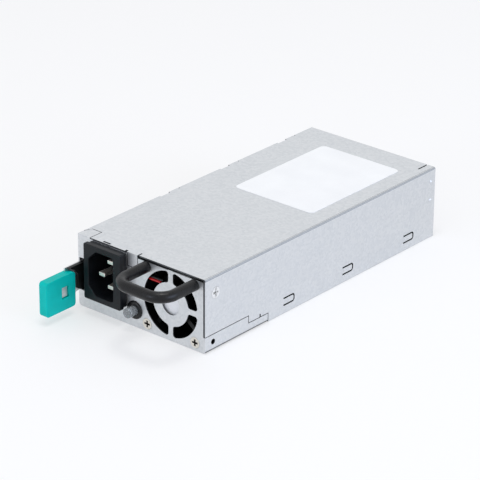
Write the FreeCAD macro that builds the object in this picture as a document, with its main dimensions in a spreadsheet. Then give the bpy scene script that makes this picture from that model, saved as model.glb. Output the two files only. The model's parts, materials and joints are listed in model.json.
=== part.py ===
import FreeCAD, Part
import math
import operator
import os
import Sketcher

# A hot-swap power supply for a server: a folded steel tray and cover, with an AC inlet, a fan behind
# a punched grille, a bar handle and a sprung release latch on the front, and a circuit board inside
# whose edge connector passes out through the vented rear panel.
#
# Sub-parts are drawn from the lower left corner of the front panel: X runs to the right, Y to the
# rear and Z up. place_in_case() then puts them about the origin, the middle of the case's underside.

V = FreeCAD.Vector
doc = FreeCAD.newDocument("hot_swap_power_supply")

# Name, value in millimetres (or degrees, or a count), and what it measures.
SIZES = (
    ("case_width", 86.0, "case, left face to right face"),
    ("case_length", 189.0, "case, front panel to rear edge"),
    ("case_height", 40.5, "case, underside to top"),
    ("sheet_thickness", 0.8, "galvanised steel sheet of tray, cover and rear panel"),
    ("bend_radius", 1.2, "outside radius of the cover's bend"),
    ("tray_bend_radius", 2.0, "outside radius of the tray's lower bends"),
    ("seam_gap", 0.4, "open seam between tray and cover"),
    ("fit_gap", 0.1, "clearance of a piece that slides into its seat"),
    # tray
    ("flange_height", 12.0, "tray flange inside the cover's right side"),
    ("strip_height", 8.8, "tray strip that shows on the right side, tall part"),
    ("strip_low_height", 4.7, "the same strip, low part"),
    ("strip_step", 33.2, "front panel to the step between tall and low part"),
    ("strip_length", 48.6, "front panel to the end of the strip"),
    ("strip_notch", 42.0, "front panel to the small notch over the low part"),
    ("strip_notch_width", 0.9, "width of that notch"),
    ("strip_notch_height", 2.0, "height of that notch"),
    ("panel_top_gap", 0.9, "open slit over the front panel's top edge"),
    ("panel_return", 12.0, "depth of the front panel's folded right edge"),
    ("corner_tab", 8.4, "tray tab that fills the cover's left front corner"),
    ("corner_tab_slant", 5.2, "slanted length of that tab's left edge"),
    ("corner_tab_nose", 2.1, "width of that slant"),
    ("side_hole_radius", 1.5, "hole low in the right side"),
    ("side_hole_y", 6.1, "front panel to that hole"),
    ("side_hole_z", 4.9, "underside to that hole"),
    # cover
    ("cover_setback", 0.5, "cover's front edge behind the panel face, right of the front tab"),
    ("front_tab_width", 6.5, "cover tab folded over the panel, beside the inlet"),
    ("front_tab_height", 7.4, "height of that tab"),
    ("tab_relief", 0.9, "relief cut on that tab's right"),
    ("tab_relief_depth", 3.2, "front panel to the end of that cut"),
    ("top_slot_left", 16.8, "left face to the slot over the inlet"),
    ("top_slot_width", 5.0, "slot over the inlet"),
    ("top_slot_depth", 1.2, "the same slot, along the case"),
    ("top_notch", 1.5, "square notch on the folded tab's left"),
    ("rear_slit_inset", 5.8, "right face to the slit beside the cover's rear right corner"),
    ("rear_slit_width", 0.9, "width of that slit"),
    ("rear_slit_length", 8.4, "length of that slit"),
    ("rear_return", 7.5, "cover's right side folded behind the case"),
    ("rear_return_corner", 2.5, "rounded corners of that fold"),
    ("side_tab_length", 9.0, "pressed tab in the right side, along the case"),
    ("side_tab_height", 4.8, "pressed tab in the right side, up the case"),
    ("side_tab_z", 4.2, "underside to a pressed tab"),
    ("side_tab_cut", 0.9, "width of the cut round a pressed tab"),
    ("tab_window_gap", 0.4, "tray's window round a pressed tab"),
    ("side_tab_first", 61.0, "front panel to the first pressed tab"),
    ("side_tab_second", 109.5, "front panel to the second pressed tab"),
    ("side_tab_last", 27.0, "third pressed tab to the rear edge"),
    ("edge_tab_first", 62.4, "front panel to the first notch in the cover's left edge"),
    ("edge_tab_last", 30.2, "third notch to the rear edge; the second is halfway"),
    ("edge_notch_length", 7.0, "length of a notch"),
    ("edge_notch_depth", 1.0, "depth of a notch"),
    ("edge_tab_length", 6.2, "hook tab behind each notch"),
    ("edge_tab_drop", 4.0, "how far a hook tab reaches down"),
    ("edge_relief", 0.8, "relief cut at a hook tab's ends"),
    ("dimple_radius", 1.3, "pressed dimple near the cover's rear edge"),
    ("dimple_height", 0.5, "height of a dimple"),
    ("dimple_upper_z", 32.9, "underside to the upper dimple"),
    ("dimple_lower_z", 22.1, "underside to the lower dimple"),
    ("dimple_inset", 3.4, "dimples in front of the rear edge"),
    ("cover_screw_y", 8.1, "front panel to the cover screw"),
    ("cover_screw_z", 31.3, "underside to the cover screw"),
    # fan and its grille
    ("fan_right", 3.8, "right face to the fan"),
    ("fan_gap", 0.45, "fan to the floor and the roof"),
    ("fan_depth", 28.0, "depth of the fan"),
    ("fan_flange", 4.0, "thickness of the fan frame's end flanges"),
    ("fan_hole_inset", 3.0, "fan's side to its mounting holes"),
    ("fan_hole_radius", 2.1, "fan mounting hole"),
    ("duct_wall", 0.9, "wall of the fan duct"),
    ("blade_room", 6.5, "motor base to the duct's wall"),
    ("motor_setback", 1.0, "motor base behind the fan's front face"),
    ("motor_base", 3.0, "thickness of the motor base"),
    ("strut_width", 2.4, "strut that carries the motor base"),
    ("strut_angle", 39.0, "first strut above the horizontal, on the left"),
    ("bearing_radius", 3.4, "bearing tube of the motor"),
    ("bearing_length", 12.0, "length of the bearing tube"),
    ("shaft_radius", 1.0, "fan shaft"),
    ("shaft_gap", 0.05, "running clearance round the shaft"),
    ("rotor_gap", 0.7, "rotor behind the motor base"),
    ("rotor_inset", 0.3, "rotor hub inside the motor base's outline"),
    ("rotor_wall", 1.4, "wall of the rotor hub"),
    ("rotor_length", 20.0, "length of the rotor hub"),
    ("blade_count", 7, "fan blades"),
    ("blade_chord", 15.0, "chord of a blade"),
    ("blade_thickness", 1.0, "thickness of a blade"),
    ("blade_root_angle", 38.0, "blade's slope to the fan's plane at the hub"),
    ("blade_tip_angle", 27.0, "the same at the tip"),
    ("tip_gap", 0.6, "blade tip to the duct"),
    ("grille_cover", 0.25, "grille's disc beyond the motor base"),
    ("grille_eye_radius", 5.75, "hole in that disc"),
    ("grille_web", 3.0, "grille web"),
    ("grille_corner", 1.6, "rounding of the grille's openings"),
    ("hub_label_inset", 3.5, "round paper label inside the motor base's outline"),
    ("paper_thickness", 0.12, "paper label"),
    ("lead_radius", 0.65, "insulated fan lead"),
    ("lead_rise", 9.5, "fan's axis up to where its leads leave the frame"),
    # screws
    ("screw_radius", 1.4, "shank of an M3 screw, to the thread's root"),
    ("screw_head_radius", 3.0, "countersunk head"),
    ("screw_head_height", 1.1, "countersunk head"),
    ("screw_hole_gap", 0.2, "clearance round a screw's shank"),
    ("fan_screw_length", 9.0, "fan screw"),
    # handle
    ("handle_radius", 3.0, "bar of the handle"),
    ("handle_reach", 27.0, "front panel to the handle's front"),
    ("handle_corner", 9.0, "centreline radius of the handle's corners"),
    ("handle_bore_depth", 9.0, "tapped bore in each end of the handle"),
    ("handle_screw_length", 12.0, "screw that holds the handle, from the panel's inside"),
    # AC inlet
    ("inlet_left", 8.8, "left face to the inlet's bezel"),
    ("inlet_width", 25.2, "width of the bezel"),
    ("inlet_drop", 0.7, "case's top down to the bezel"),
    ("inlet_height", 30.9, "height of the bezel"),
    ("inlet_proud", 5.4, "bezel in front of the panel"),
    ("bezel_step", 0.5, "step round the bezel's rim"),
    ("bezel_rim", 2.6, "depth of the rim in front of the step"),
    ("bezel_corner", 1.0, "rounding of the bezel"),
    ("inlet_body_inset", 1.6, "inlet body inside the bezel's outline"),
    ("recess_left", 3.3, "bezel's left edge to the recess"),
    ("recess_width", 16.9, "recess for the plug, narrow way"),
    ("recess_height", 24.8, "recess for the plug, long way"),
    ("recess_depth", 17.0, "depth of the recess"),
    ("recess_chamfer", 5.0, "chamfered corners on the earth side"),
    ("recess_corner", 1.5, "rounded corners on the other side"),
    ("inlet_back", 3.0, "wall behind the recess"),
    ("blade_pitch", 14.0, "line blade to neutral blade"),
    ("blade_offset", 4.0, "earth blade beside the other two"),
    ("blade_inset", 5.6, "recess's right wall to the line and neutral blades"),
    ("blade_wide", 4.0, "contact blade, broad way"),
    ("blade_thin", 2.0, "contact blade, thin way"),
    ("blade_tip_depth", 4.2, "bezel face to the tip of a line blade"),
    ("earth_lead", 2.0, "earth blade ahead of the other two"),
    ("tail_thin", 1.0, "solder tail of a blade"),
    ("tail_step", 2.6, "one solder tail behind the next"),
    # status light
    ("light_beside", 5.0, "inlet's bezel to the status light's axis"),
    ("light_room", 10.2, "inlet's bezel to the fan"),
    ("light_z", 9.6, "underside to the status light"),
    ("bush_radius", 5.0, "rim of the light's bush"),
    ("bush_rim", 1.1, "thickness of that rim"),
    ("bush_shank_radius", 4.0, "bush in the panel"),
    ("bush_length", 4.0, "bush behind the panel face"),
    ("pipe_radius", 2.7, "light pipe"),
    ("pipe_proud", 6.3, "light pipe in front of the panel"),
    ("pipe_length", 23.0, "light pipe behind the panel face"),
    ("lamp_radius", 1.5, "lamp behind the light pipe"),
    ("lamp_length", 4.0, "length of the lamp"),
    # release latch
    ("leaf_thickness", 0.8, "spring steel leaf of the latch"),
    ("leaf_gap", 0.1, "leaf beside the left wall"),
    ("leaf_bottom", 10.0, "underside to the leaf"),
    ("leaf_top", 25.4, "underside to the leaf's upper edge"),
    ("leaf_reach", 12.0, "leaf in front of the panel, full height"),
    ("tongue_reach", 26.4, "leaf's tongue in front of the panel"),
    ("tongue_bottom", 9.0, "underside to the tongue"),
    ("tongue_height", 9.4, "height of the tongue"),
    ("bend_line", 44.0, "front panel to the line where the leaf flexes"),
    ("bend_line_gap", 0.1, "leaf from its riveted foot"),
    ("foot_length", 12.0, "riveted foot of the leaf"),
    ("rivet_radius", 1.25, "latch rivet"),
    ("rivet_head_radius", 2.2, "head of a latch rivet"),
    ("rivet_head", 0.6, "thickness of a rivet's head"),
    ("rivet_spacing", 8.0, "latch rivets, centre to centre"),
    ("catch_front", 14.0, "front panel to the catch"),
    ("catch_length", 6.5, "catch along the case"),
    ("catch_height", 8.0, "catch up the case"),
    ("catch_proud", 1.6, "catch outside the left wall"),
    ("catch_window_gap", 1.0, "window round the catch"),
    ("slot_width", 5.5, "slot in the panel for the latch"),
    ("slot_bottom", 9.1, "underside to that slot"),
    ("slot_height", 18.2, "height of that slot"),
    ("arm_thickness", 2.0, "moulded arm on the leaf"),
    ("arm_reach", 11.2, "tip of the arm in front of the panel"),
    ("arm_tail", 8.0, "arm behind the panel face"),
    ("arm_neck", 4.2, "front of the arm beside the grip, in front of the panel"),
    ("arm_lip", 0.4, "arm's point over the grip"),
    ("grip_thickness", 5.2, "moulded grip on the tongue"),
    ("grip_skin", 0.6, "grip's wall over the tongue's outer face"),
    ("grip_front", 29.4, "front of the grip, in front of the panel"),
    ("grip_rear", 8.1, "rear of the grip, in front of the panel"),
    ("grip_bottom", 4.4, "underside to the grip"),
    ("grip_height", 19.2, "height of the grip"),
    ("grip_corner", 1.8, "rounding of the grip's corners"),
    ("window_front", 17.9, "grip's window, in front of the panel"),
    ("window_length", 5.1, "grip's window along the latch"),
    ("window_bottom", 10.9, "underside to the window"),
    ("window_height", 6.5, "height of the window"),
    ("barb_depth", 1.2, "leaf's locking barb behind the grip's face"),
    ("barb_gap", 0.3, "barb inside the window"),
    # rear panel and its openings
    ("rear_foot", 3.5, "foot of the rear panel on the tray's floor"),
    ("vent_width", 3.2, "vent slot"),
    ("vent_web", 1.4, "web between the rows of vent slots"),
    ("vent_columns", 13, "vent slots in a row"),
    ("vent_left", 8.0, "left face to the first vent slot"),
    ("vent_right", 10.0, "right face to the last vent slot"),
    ("vent_bottom", 11.6, "underside to the lowest vent slots"),
    ("vent_top", 4.3, "roof down to the highest vent slots"),
    ("card_slot_bottom", 3.4, "underside to the connector's opening"),
    ("card_slot_height", 5.0, "height of the connector's opening"),
    ("card_slot_gap", 1.0, "opening beside the connector"),
    # circuit board
    ("board_under", 4.0, "room under the circuit board"),
    ("board_thickness", 1.6, "circuit board"),
    ("board_left", 5.0, "case's side faces to the circuit board's edges"),
    ("board_front", 15.4, "front panel to the board, under the inlet"),
    ("board_fan_gap", 2.7, "fan to the board behind it"),
    ("board_notch_gap", 1.2, "fan to the board's edge on its left"),
    ("board_rear_gap", 4.0, "board's rear edge inside the case"),
    ("card_left", 18.0, "left face to the edge connector"),
    ("card_width", 50.0, "width of the edge connector"),
    ("card_proud", 8.5, "edge connector behind the case"),
    ("finger_pitch", 2.5, "contact fingers, centre to centre"),
    ("finger_width", 1.9, "contact finger"),
    ("finger_length", 7.0, "contact finger"),
    ("finger_thickness", 0.1, "plated contact finger"),
    ("finger_count", 19, "contact fingers on each face"),
    ("standoff_radius", 2.9, "hexagonal pillar under the board, to its corners"),
    ("standoff_inset", 4.0, "board edge to a pillar"),
    ("pan_head_radius", 2.6, "board screw head"),
    ("pan_head_height", 1.8, "board screw head"),
    ("board_screw_length", 4.6, "board screw, under its head"),
    ("film_thickness", 0.25, "insulating film under the board"),
    ("film_inset", 1.5, "film inside the board's edges and the rear panel's foot"),
    # parts on the board, in order from the inlet to the edge connector
    ("filter_x", 9.0, "left face to the mains filter choke"),
    ("filter_y", 36.0, "front panel to the mains filter choke"),
    ("filter_wide", 20.0, "width of its rectangular core"),
    ("filter_deep", 22.0, "length of its core"),
    ("filter_high", 6.0, "height of its core"),
    ("filter_leg", 5.0, "leg of its core"),
    ("filter_coil", 1.8, "build of the wire round a leg"),
    ("boost_x", 18.5, "left face to the middle of the power-factor choke"),
    ("boost_y", 78.0, "front panel to the middle of the power-factor choke"),
    ("boost_wide", 24.0, "width of its core"),
    ("boost_deep", 14.0, "length of its core"),
    ("boost_high", 24.0, "height of its core"),
    ("film_capacitor_x", 34.0, "left face to the mains filter capacitor"),
    ("film_capacitor_y", 42.0, "front panel to the same capacitor"),
    ("film_capacitor_wide", 9.0, "width of the same capacitor"),
    ("film_capacitor_long", 18.0, "length of the same capacitor"),
    ("film_capacitor_high", 15.0, "height of the same capacitor"),
    ("fuse_x", 52.0, "left face to the fuse"),
    ("fuse_y", 40.0, "front panel to the fuse"),
    ("fuse_radius", 2.6, "glass of the fuse"),
    ("fuse_cap_radius", 3.0, "end caps of the fuse"),
    ("fuse_length", 20.0, "length of the fuse"),
    ("fuse_cap", 5.0, "length of an end cap"),
    ("sink_inset", 9.0, "board's right edge to the heat sinks' flat faces"),
    ("sink_y", 40.0, "front panel to the first heat sink"),
    ("sink_gap", 10.0, "first heat sink to the second"),
    ("sink_height", 28.0, "height of both heat sinks"),
    ("sink_plate", 2.0, "plate of a heat sink"),
    ("sink_fin", 1.2, "fin of a heat sink"),
    ("sink_fin_reach", 5.0, "how far the fins stand out"),
    ("sink_2_rear", 13.0, "second heat sink to the board's rear edge"),
    ("sink_2_length", 38.0, "length of the second heat sink"),
    ("transistor_wide", 10.2, "power transistor along the heat sink"),
    ("transistor_high", 15.5, "height of its body"),
    ("transistor_thick", 4.5, "thickness of its body"),
    ("transistor_stand", 5.0, "its body above the board"),
    ("transistor_pitch", 13.0, "transistor to transistor"),
    ("transistor_count", 3, "transistors on the first heat sink"),
    ("output_transistor_count", 2, "transistors on the second heat sink"),
    ("primary_fin_count", 14, "fins of the first heat sink"),
    ("output_fin_count", 7, "fins of the second heat sink"),
    ("transistor_lead", 1.0, "lead of a transistor, square"),
    ("transistor_lead_pitch", 2.5, "lead to lead"),
    ("bulk_beside", 18.0, "bulk capacitor's axis to the heat sink's flat face"),
    ("bulk_y", 62.0, "front panel to the bulk capacitor"),
    ("bulk_radius", 12.5, "bulk capacitor"),
    ("bulk_length", 46.0, "bulk capacitor"),
    ("bulk_groove", 0.7, "depth of its rolled groove"),
    ("bridge_thick", 3.6, "thickness of the bridge rectifier"),
    ("bridge_wide", 22.0, "bridge rectifier along the heat sink"),
    ("bridge_high", 16.0, "height of its body"),
    ("bridge_lead_pitch", 5.0, "lead to lead"),
    ("core_x", 24.0, "left face to the transformer's middle"),
    ("core_rear", 60.0, "transformer's middle to the board's rear edge"),
    ("core_wide", 32.0, "transformer core across the case"),
    ("core_deep", 16.0, "transformer core along the case"),
    ("core_high", 28.0, "transformer core, height"),
    ("core_leg", 4.0, "outer leg of the choke's and the transformer's core"),
    ("core_pole", 8.0, "middle leg of either core"),
    ("core_yoke", 5.5, "yoke over and under the coil"),
    ("coil_gap", 0.2, "coil from the core round it"),
    ("coil_corner", 3.0, "rounded corner of a coil"),
    ("can_radius", 5.0, "output capacitor"),
    ("can_height", 20.0, "output capacitor"),
    ("can_pitch", 11.0, "output capacitors, centre to centre"),
    ("can_x", 14.0, "left face to the first output capacitor"),
    ("can_rear", 19.0, "last row of output capacitors to the board's rear edge"),
    ("can_columns", 3, "output capacitors in a row"),
    ("can_rows", 2, "rows of output capacitors"),
    ("card_beside", 12.0, "upright control card to the heat sink's flat face"),
    ("card_rear", 15.0, "control card to the board's rear edge"),
    ("card_thickness", 1.2, "control card"),
    ("card_length", 34.0, "control card"),
    ("card_height", 24.0, "control card"),
    ("chip_side", 7.0, "chips on the control card"),
    ("chip_thickness", 1.2, "chips on the control card"),
    ("chip_pitch", 11.0, "chip to chip"),
    ("header_x", 38.5, "left face to the fan's connector"),
    ("header_y", 35.0, "front panel to the fan's connector"),
    ("header_wide", 6.4, "fan connector's header across the case"),
    ("header_deep", 5.2, "fan connector's header along the case"),
    ("header_high", 5.0, "height of the header"),
    ("header_wall", 0.8, "wall of the header"),
    ("plug_stands_out", 2.4, "fan plug above its header"),
    # rating label, left blank
    ("label_left", 21.5, "left face to the label"),
    ("label_rear", 16.5, "label to the rear edge"),
    ("label_width", 53.0, "label across the case"),
    ("label_length", 75.4, "label along the case"),
    ("label_corner", 3.0, "rounded corners of the label"),
)


class Size:
    """A number together with the sheet's formula that gives it."""

    def __init__(self, value, formula):
        self.value = float(value)
        self.formula = formula

    def __add__(self, other):
        return combine(operator.add, "+", self, other)

    def __radd__(self, other):
        return combine(operator.add, "+", other, self)

    def __sub__(self, other):
        return combine(operator.sub, "-", self, other)

    def __rsub__(self, other):
        return combine(operator.sub, "-", other, self)

    def __mul__(self, other):
        return combine(operator.mul, "*", self, other)

    def __rmul__(self, other):
        return combine(operator.mul, "*", other, self)

    def __truediv__(self, other):
        return combine(operator.truediv, "/", self, other)

    def __neg__(self):
        return combine(operator.sub, "-", 0, self)


def as_size(number):
    if isinstance(number, Size):
        return number
    return Size(number, f"({float(number)})")


def combine(operation, sign, first, second):
    first, second = as_size(first), as_size(second)
    value = operation(first.value, second.value)
    return Size(value, f"({first.formula} {sign} {second.formula})")


def smaller(first, second):
    return Size(min(first.value, second.value), f"min({first.formula}; {second.formula})")


def write_sheet():
    """Puts every size into the sheet and gives them back as one object with a field for each."""
    sheet = doc.addObject("Spreadsheet::Sheet", "Sizes")

    class Named:
        pass

    for row, (name, value, meaning) in enumerate(SIZES, start=1):
        sheet.set(f"A{row}", name)
        sheet.set(f"B{row}", str(value))
        sheet.set(f"C{row}", meaning)
        sheet.setAlias(f"B{row}", name)
        setattr(Named, name, Size(value, f"Sizes.{name}"))
    doc.recompute()
    return Named


s = write_sheet()

# Faces that many sub-parts share.
case_right = s.case_width
case_top = s.case_height
roof = s.case_height - s.sheet_thickness
floor = s.sheet_thickness
panel_back = s.sheet_thickness
flange_right = s.case_width - s.sheet_thickness - s.seam_gap
corner = (-s.case_width / 2, -s.case_length / 2, as_size(0))

# AC inlet, status light and fan, side by side. The fan is the largest square that fits beside the
# light and between the floor and the roof, and its motor, duct and holes follow its side.
inlet_right = s.inlet_left + s.inlet_width
inlet_bottom = case_top - s.inlet_drop - s.inlet_height
light_x = inlet_right + s.light_beside
fan_side = smaller(roof - floor - s.fan_gap * 2, s.case_width - s.fan_right - inlet_right - s.light_room)
fan_x = s.case_width - s.fan_right - fan_side / 2
fan_z = (floor + roof) / 2
fan_hole_pitch = fan_side - s.fan_hole_inset * 2
duct_radius = fan_side / 2 - s.duct_wall - s.fit_gap
motor_radius = duct_radius - s.blade_room
front_tab_left = inlet_right + s.seam_gap
rotor_radius = motor_radius - s.rotor_inset

# Circuit board and the heat sinks along its right side.
board_bottom = floor + s.board_under
board_top = board_bottom + s.board_thickness
board_right = s.case_width - s.board_left
board_rear = s.case_length - s.board_rear_gap
board_fan_front = panel_back + s.fan_depth + s.board_fan_gap
rear_panel_front = s.case_length - s.sheet_thickness * 2 - s.fit_gap
sink_x = board_right - s.sink_inset
sink_2_y = board_rear - s.sink_2_rear - s.sink_2_length

ALONG_X = FreeCAD.Rotation(V(0, 1, 0), 90)
ALONG_Y = FreeCAD.Rotation(V(1, 0, 0), -90)
ALONG_Z = FreeCAD.Rotation()


# ---------------------------------------------------------------- helpers for documents and bodies

def bind(thing, name, number):
    thing.setExpression(name, as_size(number).formula)


def place(thing, point, turn=ALONG_Z):
    thing.Placement = FreeCAD.Placement(V(*(as_size(n).value for n in point)), turn)
    for axis, number in zip("xyz", point):
        bind(thing, f"Placement.Base.{axis}", number)


def place_in_case(thing, name, at=(0, 0, 0), turn=ALONG_Z):
    """Names a finished sub-part and moves it from the front corner's frame to the origin's."""
    thing.Label = name
    place(thing, [from_origin + own for from_origin, own in zip(corner, at)], turn)
    finished[name] = thing


finished = {}
cuts = []


def new_body(name):
    return doc.addObject("PartDesign::Body", f"{name}_body")


def origin_feature(body, role):
    return next(feature for feature in body.Origin.OriginFeatures if feature.Role == role)


def new_sketch(body, name, plane, offset=0):
    """A sketch on one of the body's own planes, moved along that plane's normal."""
    sketch = body.newObject("Sketcher::SketchObject", name)
    sketch.AttachmentSupport = [(origin_feature(body, plane), "")]
    sketch.MapMode = "FlatFace"
    bind(sketch, "AttachmentOffset.Base.z", offset)
    return sketch


def constrain(sketch, kind, *places, size):
    number = sketch.addConstraint(Sketcher.Constraint(kind, *places, size.value))
    bind(sketch, f"Constraints[{number}]", size)


def pin(sketch, geometry, end, point):
    """Holds one point of a sketch at an x and a y."""
    constrain(sketch, "DistanceX", -1, 1, geometry, end, size=point[0])
    constrain(sketch, "DistanceY", -1, 1, geometry, end, size=point[1])


def outline(sketch, corners):
    """A closed loop of straight lines; a corner with a third number is rounded by that radius."""
    corners = [[as_size(number) for number in corner_] for corner_ in corners]
    points = [V(x.value, y.value, 0) for x, y, *_ in corners]
    count = len(corners)

    def ends(index):
        """Where the lines before and after a corner stop."""
        here = points[index]
        if len(corners[index]) < 3:
            return here, here, here
        back = (points[index - 1] - here).normalize()
        ahead = (points[(index + 1) % count] - here).normalize()
        half = back.getAngle(ahead) / 2
        radius = corners[index][2].value
        middle = here + (back + ahead).normalize() * (radius / math.sin(half) - radius)
        reach = radius / math.tan(half)
        return here + back * reach, middle, here + ahead * reach

    lines = []
    for index in range(count):
        start, stop = ends(index)[2], ends((index + 1) % count)[0]
        lines.append(sketch.addGeometry(Part.LineSegment(start, stop), False))
    for index, (x, y, *radius) in enumerate(corners):
        before, after = lines[index - 1], lines[index]
        if not radius:
            sketch.addConstraint(Sketcher.Constraint("Coincident", before, 2, after, 1))
            pin(sketch, after, 1, (x, y))
            continue
        # Sketcher counts an arc's ends anticlockwise, so a right turn is drawn from its far end.
        start, middle, stop = ends(index)
        back, ahead = points[index - 1] - points[index], points[(index + 1) % count] - points[index]
        near_end = 1 if back.cross(ahead).z < 0 else 2
        first, last = (start, stop) if near_end == 1 else (stop, start)
        arc = sketch.addGeometry(Part.Arc(first, middle, last), False)
        sketch.addConstraint(Sketcher.Constraint("Tangent", before, 2, arc, near_end))
        sketch.addConstraint(Sketcher.Constraint("Tangent", after, 1, arc, 3 - near_end))
        constrain(sketch, "Radius", arc, size=radius[0])
        mark = sketch.addGeometry(Part.Point(points[index]), True)
        sketch.addConstraint(Sketcher.Constraint("PointOnObject", mark, 1, before))
        sketch.addConstraint(Sketcher.Constraint("PointOnObject", mark, 1, after))
        pin(sketch, mark, 1, (x, y))


def rectangle(sketch, low, high, *radius):
    outline(sketch, [(low[0], low[1], *radius), (high[0], low[1], *radius),
                     (high[0], high[1], *radius), (low[0], high[1], *radius)])


def circle(sketch, x, y, radius):
    x, y, radius = as_size(x), as_size(y), as_size(radius)
    ring = sketch.addGeometry(Part.Circle(V(x.value, y.value, 0), V(0, 0, 1), radius.value), False)
    constrain(sketch, "Radius", ring, size=radius)
    pin(sketch, ring, 3, (x, y))


def feature(body, kind, name, **links):
    made = body.newObject(f"PartDesign::{kind}", name)
    for link, value in links.items():
        setattr(made, link, value)
    return made


def pad(body, sketch, length, backwards=False):
    """Adds material along the sketch's normal, or against it."""
    made = feature(body, "Pad", f"{sketch.Name}_pad", Profile=sketch, Reversed=backwards)
    bind(made, "Length", length)
    return made


def pocket(body, sketch, depth, taper=0):
    """Cuts against the sketch's normal: to +Y from XZ_Plane, to -X from YZ_Plane, to -Z from XY_Plane."""
    made = feature(body, "Pocket", f"{sketch.Name}_pocket", Profile=sketch, TaperAngle=taper)
    bind(made, "Length", depth)
    cuts.append(made)
    return made


def revolve(body, sketch, axis="Z_Axis", kind="Revolution"):
    made = feature(body, kind, f"{sketch.Name}_turned", Profile=sketch,
                   ReferenceAxis=(origin_feature(body, axis), [""]))
    made.Angle = 360
    if kind == "Groove":
        cuts.append(made)
    return made


def polar_pattern(body, original, count, axis="Z_Axis"):
    made = feature(body, "PolarPattern", f"{original.Name}_round", Originals=[original],
                   Axis=(origin_feature(body, axis), [""]), Angle=360)
    bind(made, "Occurrences", count)
    body.Tip = made
    return made


def linear_pattern(body, original, axis, count, pitch):
    made = feature(body, "LinearPattern", f"{original.Name}_row", Originals=[original],
                   Direction=(origin_feature(body, axis), [""]))
    bind(made, "Occurrences", count)
    bind(made, "Length", pitch * (count - 1))
    body.Tip = made
    return made


def fillet(body, base, radius, wanted):
    """Rounds every edge of the last feature that wanted() picks."""
    doc.recompute()
    edges = [f"Edge{number}" for number, edge in enumerate(base.Shape.Edges, start=1) if wanted(edge)]
    made = feature(body, "Fillet", f"{base.Name}_rounded", Base=(base, edges))
    bind(made, "Radius", radius)
    return made


# ---------------------------------------------------------------- helpers for simple solids

def block(low, high):
    made = doc.addObject("Part::Box", "block")
    for side, least, most in zip(("Length", "Width", "Height"), low, high):
        bind(made, side, as_size(most) - least)
    place(made, low)
    return made


def cylinder(radius, start, length, turn=ALONG_Z, angle=360):
    made = doc.addObject("Part::Cylinder", "cylinder")
    bind(made, "Radius", radius)
    bind(made, "Height", length)
    made.Angle = angle
    place(made, start, turn)
    return made


def hexagon(radius, start, length):
    made = doc.addObject("Part::Prism", "hexagon")
    made.Polygon = 6
    bind(made, "Circumradius", radius)
    bind(made, "Height", length)
    place(made, start)
    return made


def cone(radius_1, radius_2, start, length, turn=ALONG_Z):
    made = doc.addObject("Part::Cone", "cone")
    bind(made, "Radius1", radius_1)
    bind(made, "Radius2", radius_2)
    bind(made, "Height", length)
    place(made, start, turn)
    return made


def fuse(*pieces):
    made = doc.addObject("Part::MultiFuse", "fused")
    made.Shapes = list(pieces)
    return made


def cut(base, *tools):
    made = doc.addObject("Part::Cut", "cut")
    made.Base = base
    made.Tool = tools[0] if len(tools) == 1 else fuse(*tools)
    return made


def group(*pieces):
    """Separate solids that share one node."""
    made = doc.addObject("Part::Compound", "group")
    made.Links = list(pieces)
    return made


def soft_block(name, low, high, radius):
    """An upright block with rounded corners, as a body of its own."""
    body = new_body(name)
    plan = new_sketch(body, f"{name}_plan", "XY_Plane", low[2])
    rectangle(plan, low[:2], high[:2], radius)
    pad(body, plan, as_size(high[2]) - low[2])
    return body


def countersunk_screw(start, length, turn):
    """A flat-headed M3 screw, its face at start, pointing along turn's axis."""
    head = cone(s.screw_head_radius, s.screw_radius, (0, 0, 0), s.screw_head_height)
    screw = fuse(head, cylinder(s.screw_radius, (0, 0, 0), length))
    place(screw, start, turn)
    return screw


# ---------------------------------------------------------------- sheet metal

def screw_places():
    """The four fan holes in the panel: two for the fan screws, the upper two for the handle's."""
    half = fan_hole_pitch / 2
    lower = [(fan_x - half, fan_z - half), (fan_x + half, fan_z - half)]
    upper = [(fan_x - half, fan_z + half), (fan_x + half, fan_z + half)]
    return lower, upper


def side_tab_places():
    """Where the three pressed tabs in the cover's right side start, along the case."""
    return s.side_tab_first, s.side_tab_second, s.case_length - s.side_tab_last


def inlet_body_box():
    """The part of the AC inlet that passes through the panel, as low and high corners."""
    left = s.inlet_left + s.inlet_body_inset
    right = s.inlet_left + s.inlet_width - s.inlet_body_inset
    low = inlet_bottom + s.inlet_body_inset
    high = inlet_bottom + s.inlet_height - s.inlet_body_inset
    return (left, low), (right, high)


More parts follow.
